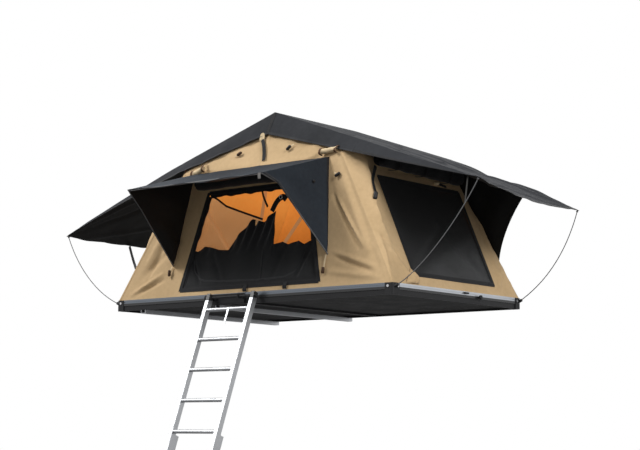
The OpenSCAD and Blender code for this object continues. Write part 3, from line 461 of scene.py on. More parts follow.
wall_heights = (0, shoulder[2], eave[2], ridge[2])
corner = np.linalg.solve(
    np.array([[1, shoulder[0], shoulder[2]], [1, ridge[0], ridge[2]], [1, eave[0], eave[2]]]),
    np.array([shoulder[1], ridge[1], eave[1]]))
gable_lean = (ridge[1] - shoulder[1]) / (ridge[2] - shoulder[2])


def wall_half(z):
    """Half width of the front canvas at a height."""
    return np.interp(z, wall_heights, (foot[0], shoulder[0], eave[0], 0.0005))


def wall_y(x, z):
    """Where the stretched front canvas lies, without its wrinkles."""
    low = foot[1] + front_lean * z
    gable = shoulder[1] + gable_lean * (z - shoulder[2])
    side = corner[0] + corner[1] * np.abs(x) + corner[2] * z
    on_side = np.abs(x) > shoulder[0] * (ridge[2] - z) / (ridge[2] - shoulder[2])
    return np.where(z < shoulder[2], low, np.where(on_side, side, gable))


front_creases = (
    ((0.66, 0.84), (1.00, 0.20), 0.034, 0.018), ((0.68, 0.58), (0.95, 0.23), 0.013, 0.013),
    ((0.65, 0.60), (0.92, 0.22), 0.014, -0.012), ((0.74, 0.78), (1.10, 0.08), 0.026, -0.016),
    ((0.80, 0.66), (1.14, 0.04), 0.018, 0.012), ((0.72, 0.19), (1.02, 0.08), 0.013, -0.013),
    ((0.70, 0.22), (1.06, 0.10), 0.016, 0.010), ((0.66, 0.10), (1.12, 0.03), 0.018, 0.010),
    ((-0.78, 0.17), (-1.10, 0.02), 0.014, 0.014), ((-0.76, 0.13), (-1.06, 0.015), 0.012, -0.012),
    ((-0.66, 0.40), (-1.00, 0.14), 0.026, -0.012), ((-0.60, 0.80), (-0.97, 0.22), 0.030, 0.014),
    ((-0.68, 0.60), (-0.96, 0.10), 0.020, -0.010),
    ((-0.62, 0.90), (0.02, 1.15), 0.026, -0.008), ((0.64, 0.90), (0.0, 1.16), 0.026, -0.008),
    ((-0.40, 0.80), (0.42, 0.84), 0.026, 0.008), ((0.0, 1.18), (0.01, 0.78), 0.016, 0.007),
    ((0.30, 0.76), (0.62, 0.92), 0.020, -0.008), ((-0.30, 0.76), (-0.62, 0.92), 0.020, -0.008),
)
door_sill, door_head, door_low, door_top = 0.048, 0.690, 0.600, 0.430


def wall_relief(x, z, creases, seed):
    """How far the creases of a door wall stand out; they fade at its edges and beside the door."""
    lap = np.where(z > eave[2], 0.45, 0.10)
    edge = np.clip((wall_half(z) - np.abs(x)) / lap, 0, 1) * np.clip(z / 0.08, 0, 1)
    edge = edge * np.clip((ridge[2] - z) / 0.1, 0, 1)
    clear = np.clip((np.abs(x) - door_low + 0.17 * z) / 0.08, 0.15, 1)
    clear = np.where(z > door_head + 0.05, 1, clear)
    return (creased(x, z, creases) + ripple(x, z, 0.004, seed)) * edge * clear


def wall_spot(side, creases, seed):
    """The front or back canvas with its creases, side -1 in front and 1 behind."""
    def spot(u, v):
        z = np.interp(v, (0, 0.7, 0.8, 1), wall_heights)
        x = (2 * u - 1) * wall_half(z)
        return x, -side * (wall_y(x, z) - wall_relief(x, z, creases, seed)), z
    return spot


def cut_out(item, lines, inside):
    """Cuts an opening: along each line first, then the faces whose middle lies inside."""
    slit(item, [(np.array(point) + hinge, normal) for point, normal in lines])
    bpy.ops.object.mode_set(mode="EDIT")
    bpy.ops.mesh.select_mode(type="FACE")
    bpy.ops.mesh.select_all(action="DESELECT")
    bpy.ops.object.mode_set(mode="OBJECT")
    for face in item.data.polygons:
        face.select = bool(inside(*(np.array(face.center) - hinge)))
    bpy.ops.object.mode_set(mode="EDIT")
    bpy.ops.mesh.delete(type="FACE")
    bpy.ops.object.mode_set(mode="OBJECT")
    weld(item, 0.0004)


def door_line(z):
    """Half width of the door at a height."""
    return np.interp(z, (door_sill, door_head), (door_low, door_top))


def door_wall(end, side, across, along, creases, seed):
    """A front or back canvas with its door cut out along sill, head and jambs."""
    rise, run = door_head - door_sill, door_low - door_top
    lines = (((0, 0, door_sill), (0, 0, 1)), ((0, 0, door_head), (0, 0, 1)),
             ((-door_low, 0, door_sill), (rise, 0, -run)), ((door_low, 0, door_sill), (rise, 0, run)))
    wall = lay(end + "_wall_cloth", across, along, wall_spot(side, creases, seed), (0, side, 0))
    cut_out(wall, lines, lambda x, y, z: door_sill < z < door_head and abs(x) < door_line(z))
    sew(wall, canvas_and_painted_glow, canvas_thick, sectors, [end + "_wall"])


door_wall("front", -1, 200, 120, front_creases, 1)

# Back canvas: the same cut as the front one, with its door zipped shut in the same cloth.
# Its inside has a painted glow of daylight through the cloth, seen in the open front door.
back_creases = (
    ((0.40, 0.60), (1.05, 0.08), 0.040, 0.010), ((-0.40, 0.60), (-1.05, 0.08), 0.040, 0.010),
    ((0.55, 0.92), (-0.05, 1.12), 0.030, -0.006), ((-0.55, 0.92), (0.05, 1.12), 0.030, -0.006),
    ((0.72, 0.76), (1.05, 0.14), 0.028, -0.012), ((-0.72, 0.76), (-1.05, 0.14), 0.028, -0.012),
    ((0.74, 0.20), (1.08, 0.05), 0.018, 0.011), ((-0.74, 0.20), (-1.08, 0.05), 0.018, 0.011),
)
door_wall("back", 1, 160, 100, back_creases, 2)
back_door_creases = (((-0.2, 0.62), (0.32, 0.1), 0.04, 0.006), ((0.25, 0.6), (-0.36, 0.12), 0.03, 0.005))
door_thick, sill_lap, jamb_lap = 0.0012, 0.004, 0.003


def dome(u, v):
    """A swell over a sheet, nothing at its edges and 1 in the middle."""
    return np.sin(math.pi * u) * np.sin(math.pi * v)


def back_door_spot(u, v):
    z = door_sill - sill_lap + v * (door_head - door_sill + 2 * sill_lap)
    x = (2 * u - 1) * (door_line(z) + jamb_lap)
    sag = 0.010 * dome(u, v) + creased(x, z, back_door_creases) + ripple(x, z, 0.002, 5)
    return x, -wall_y(x, z) - 0.0016 - sag, z


back_door = lay("back_door_cloth", 90, 60, back_door_spot, (0, 1, 0))
sew(back_door, canvas_and_painted_glow, door_thick, sectors,
    ["back_door_panel"])

# End canvases: flat in the middle, with facets that turn in to the shoulders beside the corners.
# Each has a window; the corners are folded and sewn where the front and end cloth meet.
end_foot, end_shoulder, end_eave = (1.192, 0.692), (0.6974, 0.574), (0.7713, 0.4644)
end_heights = (0, shoulder[2], eave[2])
window_half, window_low, window_high = 0.430, 0.078, 0.700
end_lean = (end_foot[0] - end_eave[0]) / eave[2]
end_creases = (
    ((-0.62, 0.78), (-0.56, 0.10), 0.016, 0.014), ((-0.57, 0.72), (-0.64, 0.10), 0.014, -0.013),
    ((-0.50, 0.88), (-0.60, 0.40), 0.018, 0.012), ((0.60, 0.74), (0.54, 0.10), 0.018, 0.012),
    ((-0.60, 0.22), (-0.46, 0.03), 0.014, 0.014), ((0.62, 0.22), (0.47, 0.03), 0.016, 0.012),
    ((-0.44, 0.76), (0.36, 0.80), 0.016, -0.007), ((-0.30, 0.045), (0.40, 0.03), 0.012, 0.005),
    ((-0.66, 0.36), (-0.50, 0.14), 0.014, -0.010), ((0.50, 0.80), (0.58, 0.42), 0.016, -0.010),
)
ends = (("left", -1, fixed_fold), ("right", 1, folding_fold))


def end_half(z):
    """Half width of an end canvas at a height."""
    return np.interp(z, end_heights, (end_foot[1], end_shoulder[1], end_eave[1]))


def end_flat(z):
    """Where the flat middle of the right end canvas lies at a height, and its half width."""
    return end_foot[0] - end_lean * z, end_foot[1] + (end_eave[1] - end_foot[1]) * z / eave[2]


def end_x(y, z):
    """Where the right end canvas lies, without its wrinkles."""
    corner_x = np.interp(z, end_heights, (end_foot[0], end_shoulder[0], end_eave[0]))
    flat_x, inner = end_flat(z)
    t = np.clip((np.abs(y) - inner) / np.maximum(end_half(z) - inner, 1e-4), 0, 1)
    return flat_x + (corner_x - flat_x) * t


for end, side, fold in ends:
    def end_spot(u, v):
        z = np.interp(v, (0, 0.9, 1), end_heights)
        half = end_half(z)
        y = (2 * u - 1) * half
        edge = np.clip((half - np.abs(y)) / 0.04, 0, 1) * np.clip(z / 0.05, 0, 1)
        edge = edge * np.clip((eave[2] - z) / 0.06, 0, 1)
        relief = creased(y, z, end_creases) + ripple(y, z, 0.003, 3 if side < 0 else 4)
        return side * (end_x(y, z) + relief * edge), y, z

    wall = lay(end + "_wall_cloth", 130, 100, end_spot, (side, 0, 0))
    window_lines = (((0, 0, window_low), (0, 0, 1)), ((0, 0, window_high), (0, 0, 1)),
                    ((0, -window_half, 0), (0, 1, 0)), ((0, window_half, 0), (0, 1, 0)))
    cut_out(wall, window_lines, lambda x, y, z: window_low < z < window_high and abs(y) < window_half)
    sew(wall, canvas_and_painted_glow, canvas_thick, fold, [end + "_wall"])

# Corner seams: where front or back cloth meets an end canvas, a folded tan tape is sewn over the joint.
# It runs from the base to the shoulder and keeps the joint tight against rain.
seam_wide, seam_thick = 0.028, 0.0010
for end, side, fold in ends:
    for face_name, face in (("front", -1), ("back", 1)):
        def corner_spot(u, v):
            z = 0.002 + (shoulder[2] - 0.004) * v
            x, y = (np.interp(z, (0, shoulder[2]), line) for line in ((1.1928, 0.6982), (0.6935, 0.5755)))
            over_face, over_end = (seam_wide * np.clip(share, 0, 1) for share in (0.5 - u, u - 0.5))
            flat_x, inner = end_flat(z)
            turned = over_end / np.maximum(np.hypot(flat_x - x, inner - y), 0.02)
            return side * (x - over_face + (flat_x - x) * turned), face * (y + (inner - y) * turned), z

        seam = lay("%s_%s_corner_seam" % (end, face_name), 6, 70, corner_spot, (side, face, 0))
        sew(seam, (canvas,), seam_thick, fold)

# Window fillings: the right one is charcoal insect mesh, the left one is closed with a canvas panel.
# Both are sewn in behind the black binding; above a slanting line the mesh is painted darker, as painted
# shade.
filling_lap, filling_thick = 0.003, 0.0008
window_mesh = cloth_finish(
    "charcoal_mesh", (0.042, 0.043, 0.045), (0.016, 0.0165, 0.017), 200, rough=0.6, bump=0.7)
tree, shader, bare_hue = open_up(window_mesh)
# Painted shade: the mesh is darker above a slanting line across the window.
shade_slant = sums(tree, "SUBTRACT", sums(tree, "MULTIPLY", place_on(tree, "Y"), 0.42), place_on(tree, "Z"))
painted_shade_hue = (0.010, 0.0103, 0.011)
wire(tree, shader, {"Base Color": two_hues(tree, ramp(tree, shade_slant, -0.36, -0.30), painted_shade_hue, bare_hue)})
filling_creases = (((-0.40, 0.10), (0.10, 0.42), 0.03, 0.008), ((0.05, 0.45), (0.36, 0.12), 0.03, 0.008))
for end, side, fold in ends:
    def filling_spot(u, v):
        y = (2 * u - 1) * (window_half + filling_lap)
        z = window_low - filling_lap + v * (window_high - window_low + 2 * filling_lap)
        belly = 0.014 * dome(u, v) + creased(y, z, filling_creases) + ripple(y, z, 0.0015, 6)
        return side * (end_flat(z)[0] - 0.0018 - belly), y, z

    filled, finishes, slot_name = {
        "left": ("left_window_panel", canvas_and_painted_glow, "tan_canvas"),
        "right": ("right_window_mesh", (window_mesh, window_mesh), "mesh"),
    }[end]
    filling = lay(filled + "_cloth", 70, 60, filling_spot, (side, 0, 0))
    sew(filling, finishes, filling_thick, fold, [filled])

# Bindings: black woven tape, folded over the raw edge of every opening and sewn down with two rows.
# The tape stands a little proud of the canvas and laps 8 mm over the opening.
stitch_rows, inside, outside = group("stitch_rows", ("Width",), ("Stitch",))
run = node(stitch_rows, "SeparateXYZ", {0: node(stitch_rows, "TexCoord", {})["UV"]})
off_middle = sums(stitch_rows, "ABSOLUTE", sums(stitch_rows, "SUBTRACT", run["Y"], inside["Width"]))
row_at = sums(stitch_rows, "MULTIPLY", inside["Width"], 0.66)
off_row = sums(stitch_rows, "ABSOLUTE", sums(stitch_rows, "SUBTRACT", off_middle, row_at))
on_row = sums(stitch_rows, "LESS_THAN", off_row, 0.0009)
step = sums(stitch_rows, "FRACT", sums(stitch_rows, "MULTIPLY", run["X"], 160.0))
dash = sums(stitch_rows, "LESS_THAN", step, 0.62)
wire(stitch_rows, outside, {"Stitch": sums(stitch_rows, "MULTIPLY", on_row, dash)})


def tape_finish(name, light, dark, thread, width):
    """Ribbed webbing with two rows of stitches."""
    made = cloth_finish(name, light, dark, 210, rough=0.75, bump=0.6)
    tree, shader, under = open_up(made)
    stitch = node(tree, "Group", {"Width": width / 2}, node_tree=stitch_rows)["Stitch"]
    ribs = shader.inputs["Normal"].links[0].from_socket
    raised = node(tree, "Bump", {"Height": stitch, "Strength": 0.6, "Distance": 0.0006, "Normal": ribs})[0]
    wire(tree, shader, {"Base Color": two_hues(tree, stitch, under, thread), "Normal": raised})
    return made


tape_wide, tape_thick, tape_proud, tape_lap = 0.028, 0.0016, 0.0022, 0.008
black_tape = tape_finish("black_tape", black_and_painted_shade, (0.006, 0.006, 0.007), (0.03, 0.03, 0.031), tape_wide)


def lengths(line):
    """How far along a line each of its points lies."""
    return np.concatenate([[0], np.cumsum(np.linalg.norm(np.diff(line, axis=0), axis=1))])


def strip(name, line, across, outward, slack=0.0, wavy=0.0):
    """A tape along a line: across is the step from its one edge to the other, wavy where it puckers."""
    line = np.array(line, float)
    along = lengths(line)

    def spot(u, v):
        s = u * along[-1]
        lift = slack * np.abs(np.sin(s * 9.0))
        wide = 1 + wavy * (np.sin(s * 38.0) + 0.6 * np.sin(s * 71.0 + 1.0))
        return [np.interp(s, along, line[:, k]) + (v - 0.5) * wide * across[k] + lift * outward[k]
                for k in range(3)]
    return lay(name, max(6, int(along[-1] / 0.012)), 4, spot, outward)


def join(name, items):
    """Joins pieces into one object."""
    only(items[0])
    if len(items) > 1:
        for item in items[1:]:
            item.select_set(True)
        bpy.ops.object.join()
    items[0].name = items[0].data.name = name
    return items[0]


def tape_round(name, opening, corner_lap, on_wall, up, across, outward, wavy=0.0):
    """Tape round an opening: sill, head and two upright sides, lapped at the corners."""
    half_low, half_high, low, high, out = opening
    flat_low, flat_high = half_low + corner_lap, half_high + corner_lap
    sides = (
        ((-flat_low, low), (flat_low, low), up), ((-flat_high, high), (flat_high, high), up),
        ((-half_low, low - out), (-half_high, high + out), across),
        ((half_low, low - out), (half_high, high + out), across),
    )
    parts = []
    for start, stop, step in sides:
        line = [on_wall(*at, 0.0003 if step is across else 0.0) for at in (start, stop)]
        parts.append(strip("%s_%d" % (name, len(parts)), line, step, outward, 0.0012, wavy))
    return join(name, parts)


def door_tape(name, side, wide, inset, proud, wavy=0.0):
    """Tape round a door; inset moves it into the opening."""
    out = wide / 2 - tape_lap - inset
    opening = (door_low + out, door_top + out, door_sill - out, door_head + out, out)
    return tape_round(
        name, opening, 0, lambda x, z, lift: (x, -side * (wall_y(x, z) - proud - lift), z),
        (0, -side * front_lean * wide, wide), (wide, 0, 0), (0, side, 0), wavy)


for end, side in (("front", -1), ("back", 1)):
    binding = door_tape(end + "_binding_tape", side, tape_wide, 0, tape_proud)
    sew(binding, (black_tape,), tape_thick, sectors,
        [end + "_binding"])
for end, side, fold in ends:
    out = tape_wide / 2 - tape_lap
    opening = (window_half + out, window_half + out, window_low - out, window_high + out, out)
    binding = tape_round(
        end + "_binding_tape", opening, out,
        lambda y, z, lift: (side * (end_x(y, z) + tape_proud + lift), y, z),
        (-side * end_lean * tape_wide, 0, tape_wide), (0, tape_wide, 0), (side, 0, 0))
    sew(binding, (black_tape,), tape_thick, fold,
        [end + "_binding"])

# Window fold: slack canvas at the near lower corner of the right window bulges over the binding's corner.
# It is a pinch of the wall's own cloth, folded up and caught in the seam.
fold_corners = np.array(((-0.560, 0.006), (-0.424, 0.008), (-0.402, 0.060), (-0.456, 0.108)))
fold_crease = ((-0.445, 0.10), (-0.47, 0.01), 0.007, 0.012)


def fold_spot(u, v):
    low_left, low_right, high_right, high_left = fold_corners
    low_edge = np.outer(1 - u, low_left) + np.outer(u, low_right)
    high_edge = np.outer(1 - u, high_left) + np.outer(u, high_right)
    y, z = low_edge.T * (1 - v) + high_edge.T * v
    bulge = 0.030 * np.clip(dome(u, v), 0, 1) ** 0.6 - crease(y, z, *fold_crease)
    return end_x(y, z) + 0.0045 + np.maximum(bulge, 0), y, z


window_fold = lay("right_window_fold", 30, 24, fold_spot, (1, 0, 0))
sew(window_fold, (canvas,), canvas_thick, folding_fold)

# Front door zip: the black tape of the door's zip, sewn in behind the binding along its inner edge.
# It makes the dark border round the lit opening broader than the binding alone.
zip_wide, zip_inset, zip_behind, zip_pucker = 0.034, 0.017, -0.0025, 0.20
front_zip = door_tape("front_door_zip", -1, zip_wide, zip_inset, zip_behind, zip_pucker)
sew(front_zip, (black_tape,), door_thick, sectors)

# Front door panel: black canvas let down inside the door, its top edge sagging in waves.
# Its middle is gathered up and tied back to the right, so it hangs in folds from the tie.
black_canvas = cloth_finish(
    "black_canvas", (0.0135, 0.014, 0.015), (0.007, 0.0072, 0.0078), 300, rough=0.8, sheen=0.15)
drop_line = (
    (-0.60, 0.315), (-0.547, 0.318), (-0.497, 0.302), (-0.438, 0.334), (-0.373, 0.323), (-0.29, 0.300),
    (-0.22, 0.295), (-0.175, 0.362), (-0.025, 0.489), (0.062, 0.465), (0.165, 0.531), (0.176, 0.50),
    (0.184, 0.304), (0.253, 0.319), (0.30, 0.299), (0.399, 0.315), (0.446, 0.289), (0.527, 0.322),
    (0.60, 0.30),
)
drop_half, drop_below, drop_jamb, drop_back, drop_thick = 0.590, 0.006, 0.004, 0.0045, 0.0011
drop_creases = (
    ((0.10, 0.05), (0.098, 0.30), 0.004, -0.004),
    ((-0.54, 0.27), (-0.44, 0.07), 0.014, 0.009), ((0.50, 0.26), (0.40, 0.07), 0.014, 0.009),
    ((-0.35, 0.28), (-0.25, 0.08), 0.02, 0.006), ((0.28, 0.27), (0.2, 0.08), 0.02, 0.006),
)


def traced(s, line, k, stops=None):
    """One coordinate along a line of points, by their share of it or by stops."""
    return np.interp(s, np.linspace(0, 1, len(line)) if stops is None else stops, [at[k] for at in line])


def drop_top(x):
    """Height of the let-down panel's top edge."""
    return traced(x, drop_line, 1, [at[0] for at in drop_line])


def drop_y(x, z):
    """Depth of the let-down panel with its folds, behind the line of the wall."""
    v = (z - door_sill) / (drop_top(x) - door_sill)
    raised = np.clip((z - 0.26) / 0.16, 0, 1)
    folds_in = 0.012 * (0.5 + 0.5 * np.sin(x * 25.3 + 0.44 * v)) * (0.35 + 0.65 * v)
    pleats = raised * 0.018 * (0.5 + 0.5 * np.sin((x - 0.30 * (z - 0.3)) * 88))
    return wall_y(x, z) + drop_back + folds_in + pleats + creased(x, z, drop_creases)


def drop_spot(u, v):
    x = (2 * u - 1) * drop_half
    z = door_sill - drop_below + (drop_top(x) - door_sill + drop_below) * v
    x = np.clip(x, -door_line(z) - drop_jamb, door_line(z) + drop_jamb)
    return x, drop_y(x, z), z


door_panel = lay("front_door_cloth", 200, 44, drop_spot, (0, -1, 0))
sew(door_panel, (black_canvas,), drop_thick, sectors,
    ["front_door_panel"])

# Zip line on the dropped panel: a curved zip that lets the panel's middle open, in dull black tape.
# It runs down beside each jamb, round a corner and along above the sill.
panel_zip_wide, panel_zip_thick = 0.013, 0.0008
dull_tape = tape_finish(
    "dull_tape", (0.030, 0.031, 0.033), (0.018, 0.0185, 0.02), (0.05, 0.05, 0.052), panel_zip_wide)
zip_line = ((-0.53, 0.27), (-0.50, 0.16), (-0.46, 0.118), (-0.40, 0.098), (-0.20, 0.086), (0.10, 0.078),
            (0.30, 0.086), (0.39, 0.112), (0.43, 0.16), (0.46, 0.23))
zip_x, zip_z = (traced(np.linspace(0, 1, 80), zip_line, k) for k in (0, 1))
zip_points = np.stack([zip_x, drop_y(zip_x, zip_z) - 0.0016, zip_z], axis=1)
panel_zip = strip("front_panel_zip", zip_points, (0.006, 0, 0.012), (0, -1, 0))
sew(panel_zip, (dull_tape,), panel_zip_thick, sectors)

# Front door mesh: pale insect mesh that still hangs between the left jamb and the gathered panel.
# Its free edge is a dark hem that sags from the head down to the tie.
# Painted light: the mesh's orange colour and glow stand for the lit inside of the tent behind it.
door_mesh = cloth_finish(
    "door_mesh", (0.80, 0.49, 0.235), (0.67, 0.40, 0.185), 200, rough=0.7, lit=0.40, bump=0.6)
tree, shader, _ = open_up(door_mesh)
mesh_holes = node(tree, "TexChecker", {"Vector": node(tree, "TexCoord", {})["UV"], "Scale": 700.0})["Fac"]
wire(tree, shader, {"Alpha": ramp(tree, mesh_holes, 0.0, 1.0, 0.25, 0.75)})
hem_line = (
    (-0.425, 0.684), (-0.376, 0.654), (-0.288, 0.599), (-0.157, 0.553), (-0.03, 0.510), (0.055, 0.482))
mesh_low, mesh_back, mesh_inset, mesh_thick, mesh_hem_wide = 0.285, 0.0045, 0.001, 0.0005, 0.013


def mesh_spot(u, v):
    top_x, top_z = (traced(u, hem_line, k) for k in (0, 1))
    low_x = -door_line(mesh_low) + mesh_inset + u * (door_line(mesh_low) - 0.10)
    x, z = low_x + (top_x - low_x) * v, mesh_low + (top_z - mesh_low) * v
    back = mesh_back + 0.042 * np.clip(u / 0.12, 0, 1) * (1 - 0.55 * v)
    return np.maximum(x, -door_line(z) + mesh_inset), wall_y(x, z) + back, z


front_mesh = lay("front_door_net", 60, 44, mesh_spot, (0, -1, 0))
sew(front_mesh, (door_mesh,), mesh_thick, sectors, ["front_door_mesh"])
hem_points = []
for i, (x, z) in enumerate(hem_line):
    hem_points.append((x, wall_y(x, z) + mesh_back + 0.0189 * (i > 0) - 0.0015, z))
mesh_hem = strip("front_mesh_hem", hem_points, (0.004, 0, mesh_hem_wide), (0, -1, 0))
sew(mesh_hem, (black_tape,), door_thick, sectors)

# Canvas roof: a tan panel on each slope, sewn to the ridge and eave and hidden under the fly.
# It sags a little between the bows; its inside has a painted glow of daylight.
slopes = (("left", -1, left_bow_fold), ("right", 1, right_bow_fold))
for end, side, fold in slopes:
    def roof_spot(u, v):
        half = -(ridge[1] + (eave[1] - ridge[1]) * v) - 0.003
        sag = 0.022 * np.sin(math.pi * v) * np.clip(5 * u * (1 - u), 0, 1)
        z = ridge[2] - 0.001 + (eave[2] - ridge[2]) * v - sag
        return side * (0.0004 + (eave[0] - 0.002) * v), (2 * u - 1) * half, z

    roof = lay(end + "_roof_cloth", 50, 40, roof_spot, (0, 0, 1))
    sew(roof, canvas_and_painted_glow, canvas_thick, fold,
        [end + "_roof"])

# Bows: bent aluminium tube, run through canvas sleeves on the inside of the tent above their pivots.
# Only the lower ends by the pivots show bare metal; the sleeves carry the inside's painted daylight glow,
# and those of the front legs are painted duller, as painted shade.
bow_finish = cloth_finish("sleeved_bow", (0.66, 0.29, 0.058), (0.55, 0.22, 0.039), 330, lit=0.64)
tree, shader, sleeve_hue = open_up(bow_finish)
sleeve = step_up(tree, 0.30, 0.002)
front_leg_painted_shade = sums(tree, "LESS_THAN", place_on(tree, "Y"), -0.38)
# Painted shade: the front-leg sleeves get a duller orange than the others.
sleeve_hue = two_hues(tree, front_leg_painted_shade, sleeve_hue, (0.43, 0.20, 0.078))
wire(tree, shader, {
    "Base Color": two_hues(tree, sleeve, (0.6, 0.61, 0.63), sleeve_hue),
    "Emission Color": two_hues(tree, sleeve, (0, 0, 0), sleeve_hue),
    "Metallic": sums(tree, "SUBTRACT", 1.0, sleeve)})
paint_nodes(bow_finish, "left_bow", "ridge_bow", "right_bow")

# Rain fly: charcoal coated cloth over both slopes, with a skirt front and back that stands off the gable.
# The outside is dull grey; the coated inside is painted nearly black, as painted shade of the underside.
# The hem is turned and sewn, and each half laps over its wing.
fly_cloth = cloth_finish(
    "fly_cloth", (0.027, 0.0285, 0.0325), (0.0155, 0.0165, 0.019), 420, rough=0.78, sheen=0.0, bump=0.25)
# Painted shade: the coated inside, seen only from below, is painted darker than the outside.
fly_inside_painted_shade = cloth_finish(
    "fly_coating_painted_shade", (0.020, 0.0196, 0.0194), (0.013, 0.0127, 0.0125), 420, rough=0.6, sheen=0.0, bump=0.2)
fly_thick, trim_thick, fly_hem_wide = 0.0014, 0.0008, 0.018
fly_hem = tape_finish(
    "fly_hem", (0.024, 0.025, 0.028), (0.014, 0.015, 0.017), (0.06, 0.062, 0.066), fly_hem_wide)
fly_ridge, fly_eave_x, fly_eave = 1.2277, 0.7711, 0.9541
fly_creases = (
    ((-0.35, 0.05), (-0.42, 0.95), 0.02, -0.004), ((0.30, 0.08), (0.42, 0.92), 0.02, -0.004),
    ((-0.10, 0.10), (-0.30, 0.90), 0.04, 0.010), ((0.05, 0.15), (0.22, 0.95), 0.04, 0.009),
    ((-0.42, 0.70), (0.40, 0.86), 0.03, -0.007), ((-0.40, 0.30), (0.38, 0.18), 0.03, -0.006),
)


def skirted(u, share):
    """Splits u into the place across the flat cloth, -1 to 1, and down the skirt beside it, 0 to 1."""
    r = np.interp(u, (0, share, 1 - share, 1), (-2, -1, 1, 2))
    return np.clip(r, -1, 1), np.clip(np.abs(r) - 1, 0, 1), np.sign(r)


def mirrored_bands(start, stop, v_range, across, along, outward):
    """A band along one side of a sheet and its mirror image along the other."""
    return (((start, stop), v_range, across, along, [-way for way in outward]),
            ((1 - stop, 1 - start), v_range, across, along, outward))


def edging(name, spot, bands, finish, fold, proud=0.0012):
    """Sewn hems: narrow bands over a sheet, each on a part of its u and v, joined into one tape."""
    made = []
    for (u0, u1), (v0, v1), across, along, outward in bands:
        def place(u, v):
            at = spot(u0 + (u1 - u0) * u, v0 + (v1 - v0) * v)
            return [c + way * proud for c, way in zip(at, outward)]

        made.append(lay("%s_%d" % (name, len(made)), across, along, place, outward))
    sew(join(name, made), (finish,), trim_thick, fold)


for end, side, fold in slopes:
    def fly_spot(u, v):
        flat, hem, way = skirted(u, 0.2)
        v = v * 1.014
        half = 0.431 + 0.069 * v
        drop, out = 0.160 - 0.065 * v, 0.080 * (0.86 + 0.14 * v)
        folds = creased(flat * half, v, fly_creases) * (1 - hem)
        sag = 0.010 * np.sin(math.pi * v) * (1 - flat ** 2) - folds
        wave = hem * (0.006 * np.sin(v * 17 + side) + 0.003 * np.sin(v * 41))
        wave = wave + 0.004 * np.sin(hem * 3.1) * (1 + np.sin(v * 9 + 2 * side))
        wave = wave * np.clip(v / 0.12, 0, 1) + 0.007 * hem
        z = fly_ridge + (fly_eave - fly_ridge) * v - drop * hem - sag + fly_thick
        return side * (0.0002 + fly_eave_x * v), flat * half + way * out * hem + way * wave, z

    fly = lay(end + "_fly_cloth", 110, 60, fly_spot, (0, 0, 1))
    sew(fly, (fly_cloth, fly_inside_painted_shade), fly_thick, fold,
        [end + "_fly"])
    hems = mirrored_bands(0, 0.022, (0.0, 1.0), 4, 60, (0, 1, 0))
    edging(end + "_fly_hem", fly_spot, hems, fly_hem, fold)
    seam = mirrored_bands(0, 0.2, (0.0, 0.018), 30, 3, (0, 1, 0))
    edging(end + "_fly_seam", fly_spot, seam, black_tape, fold, 0.0018)

# Wings: the fly runs on past each eave as a sloping wing, sprung out over the window by two rods.
# Tension draws wrinkles from the tips; a curtain in the fly's coated cloth, painted nearly black as painted
# shade, closes the back edge of each wing.
wing_root, wing_reach, wing_fall, wing_keep = 0.7717, 1.0087, 0.4341, 0.06
curtain_low, curtain_lean_x, curtain_lean_y = 0.255, 0.577, 0.1376
wing_creases = (
    ((-0.97, 0.99), (-0.20, 0.30), 0.030, 0.012), ((0.97, 0.99), (0.20, 0.30), 0.030, 0.012),
    ((-0.99, 0.92), (-0.60, 0.10), 0.026, -0.011), ((0.99, 0.92), (0.60, 0.10), 0.026, -0.011),
    ((-0.84, 0.99), (0.10, 0.75), 0.026, -0.010), ((0.84, 0.99), (-0.10, 0.75), 0.026, -0.010),
    ((-0.30, 0.02), (-0.42, 0.60), 0.024, 0.009), ((0.15, 0.02), (0.22, 0.55), 0.024, 0.009),
    ((-0.60, 0.04), (-0.75, 0.50), 0.020, -0.008), ((0.50, 0.04), (0.66, 0.50), 0.020, -0.008),
)
tip_pull = {-1: ((0.064, -0.020), (0.0, 0.0)), 1: ((-0.006, 0.075), (-0.068, 0.016))}


def wing_at(t, v, hem, side):
    """Lower face of a wing: t from eave to tip, v across, hem 1 at the foot of its side hem."""
    flat = 1 - v * v
    near, far = t * t * (1 - v) / 2, t * t * (1 + v) / 2
    (near_x, near_z), (far_x, far_z) = tip_pull[side]
    x = wing_root + wing_reach * t - 0.030 * flat * t * t + near * near_x + far * far_x
    y = v * (0.5 + 0.12 * t) + np.sign(v) * 0.08 * (1 - t) * hem
    z = fly_eave - wing_fall * t + 0.06 * t * (1 - t) - 0.028 * flat * t * t - 0.095 * (1 - t) * hem
    z = z + near * near_z + far * far_z
    if side > 0:
        ruffle = 0.010 * np.exp(-((t - 0.62) / 0.14) ** 2) - 0.03 * np.exp(-((t - 0.36) / 0.14) ** 2)
        z = z + np.clip(v, 0, 1) * ruffle
    return side * x, y, z


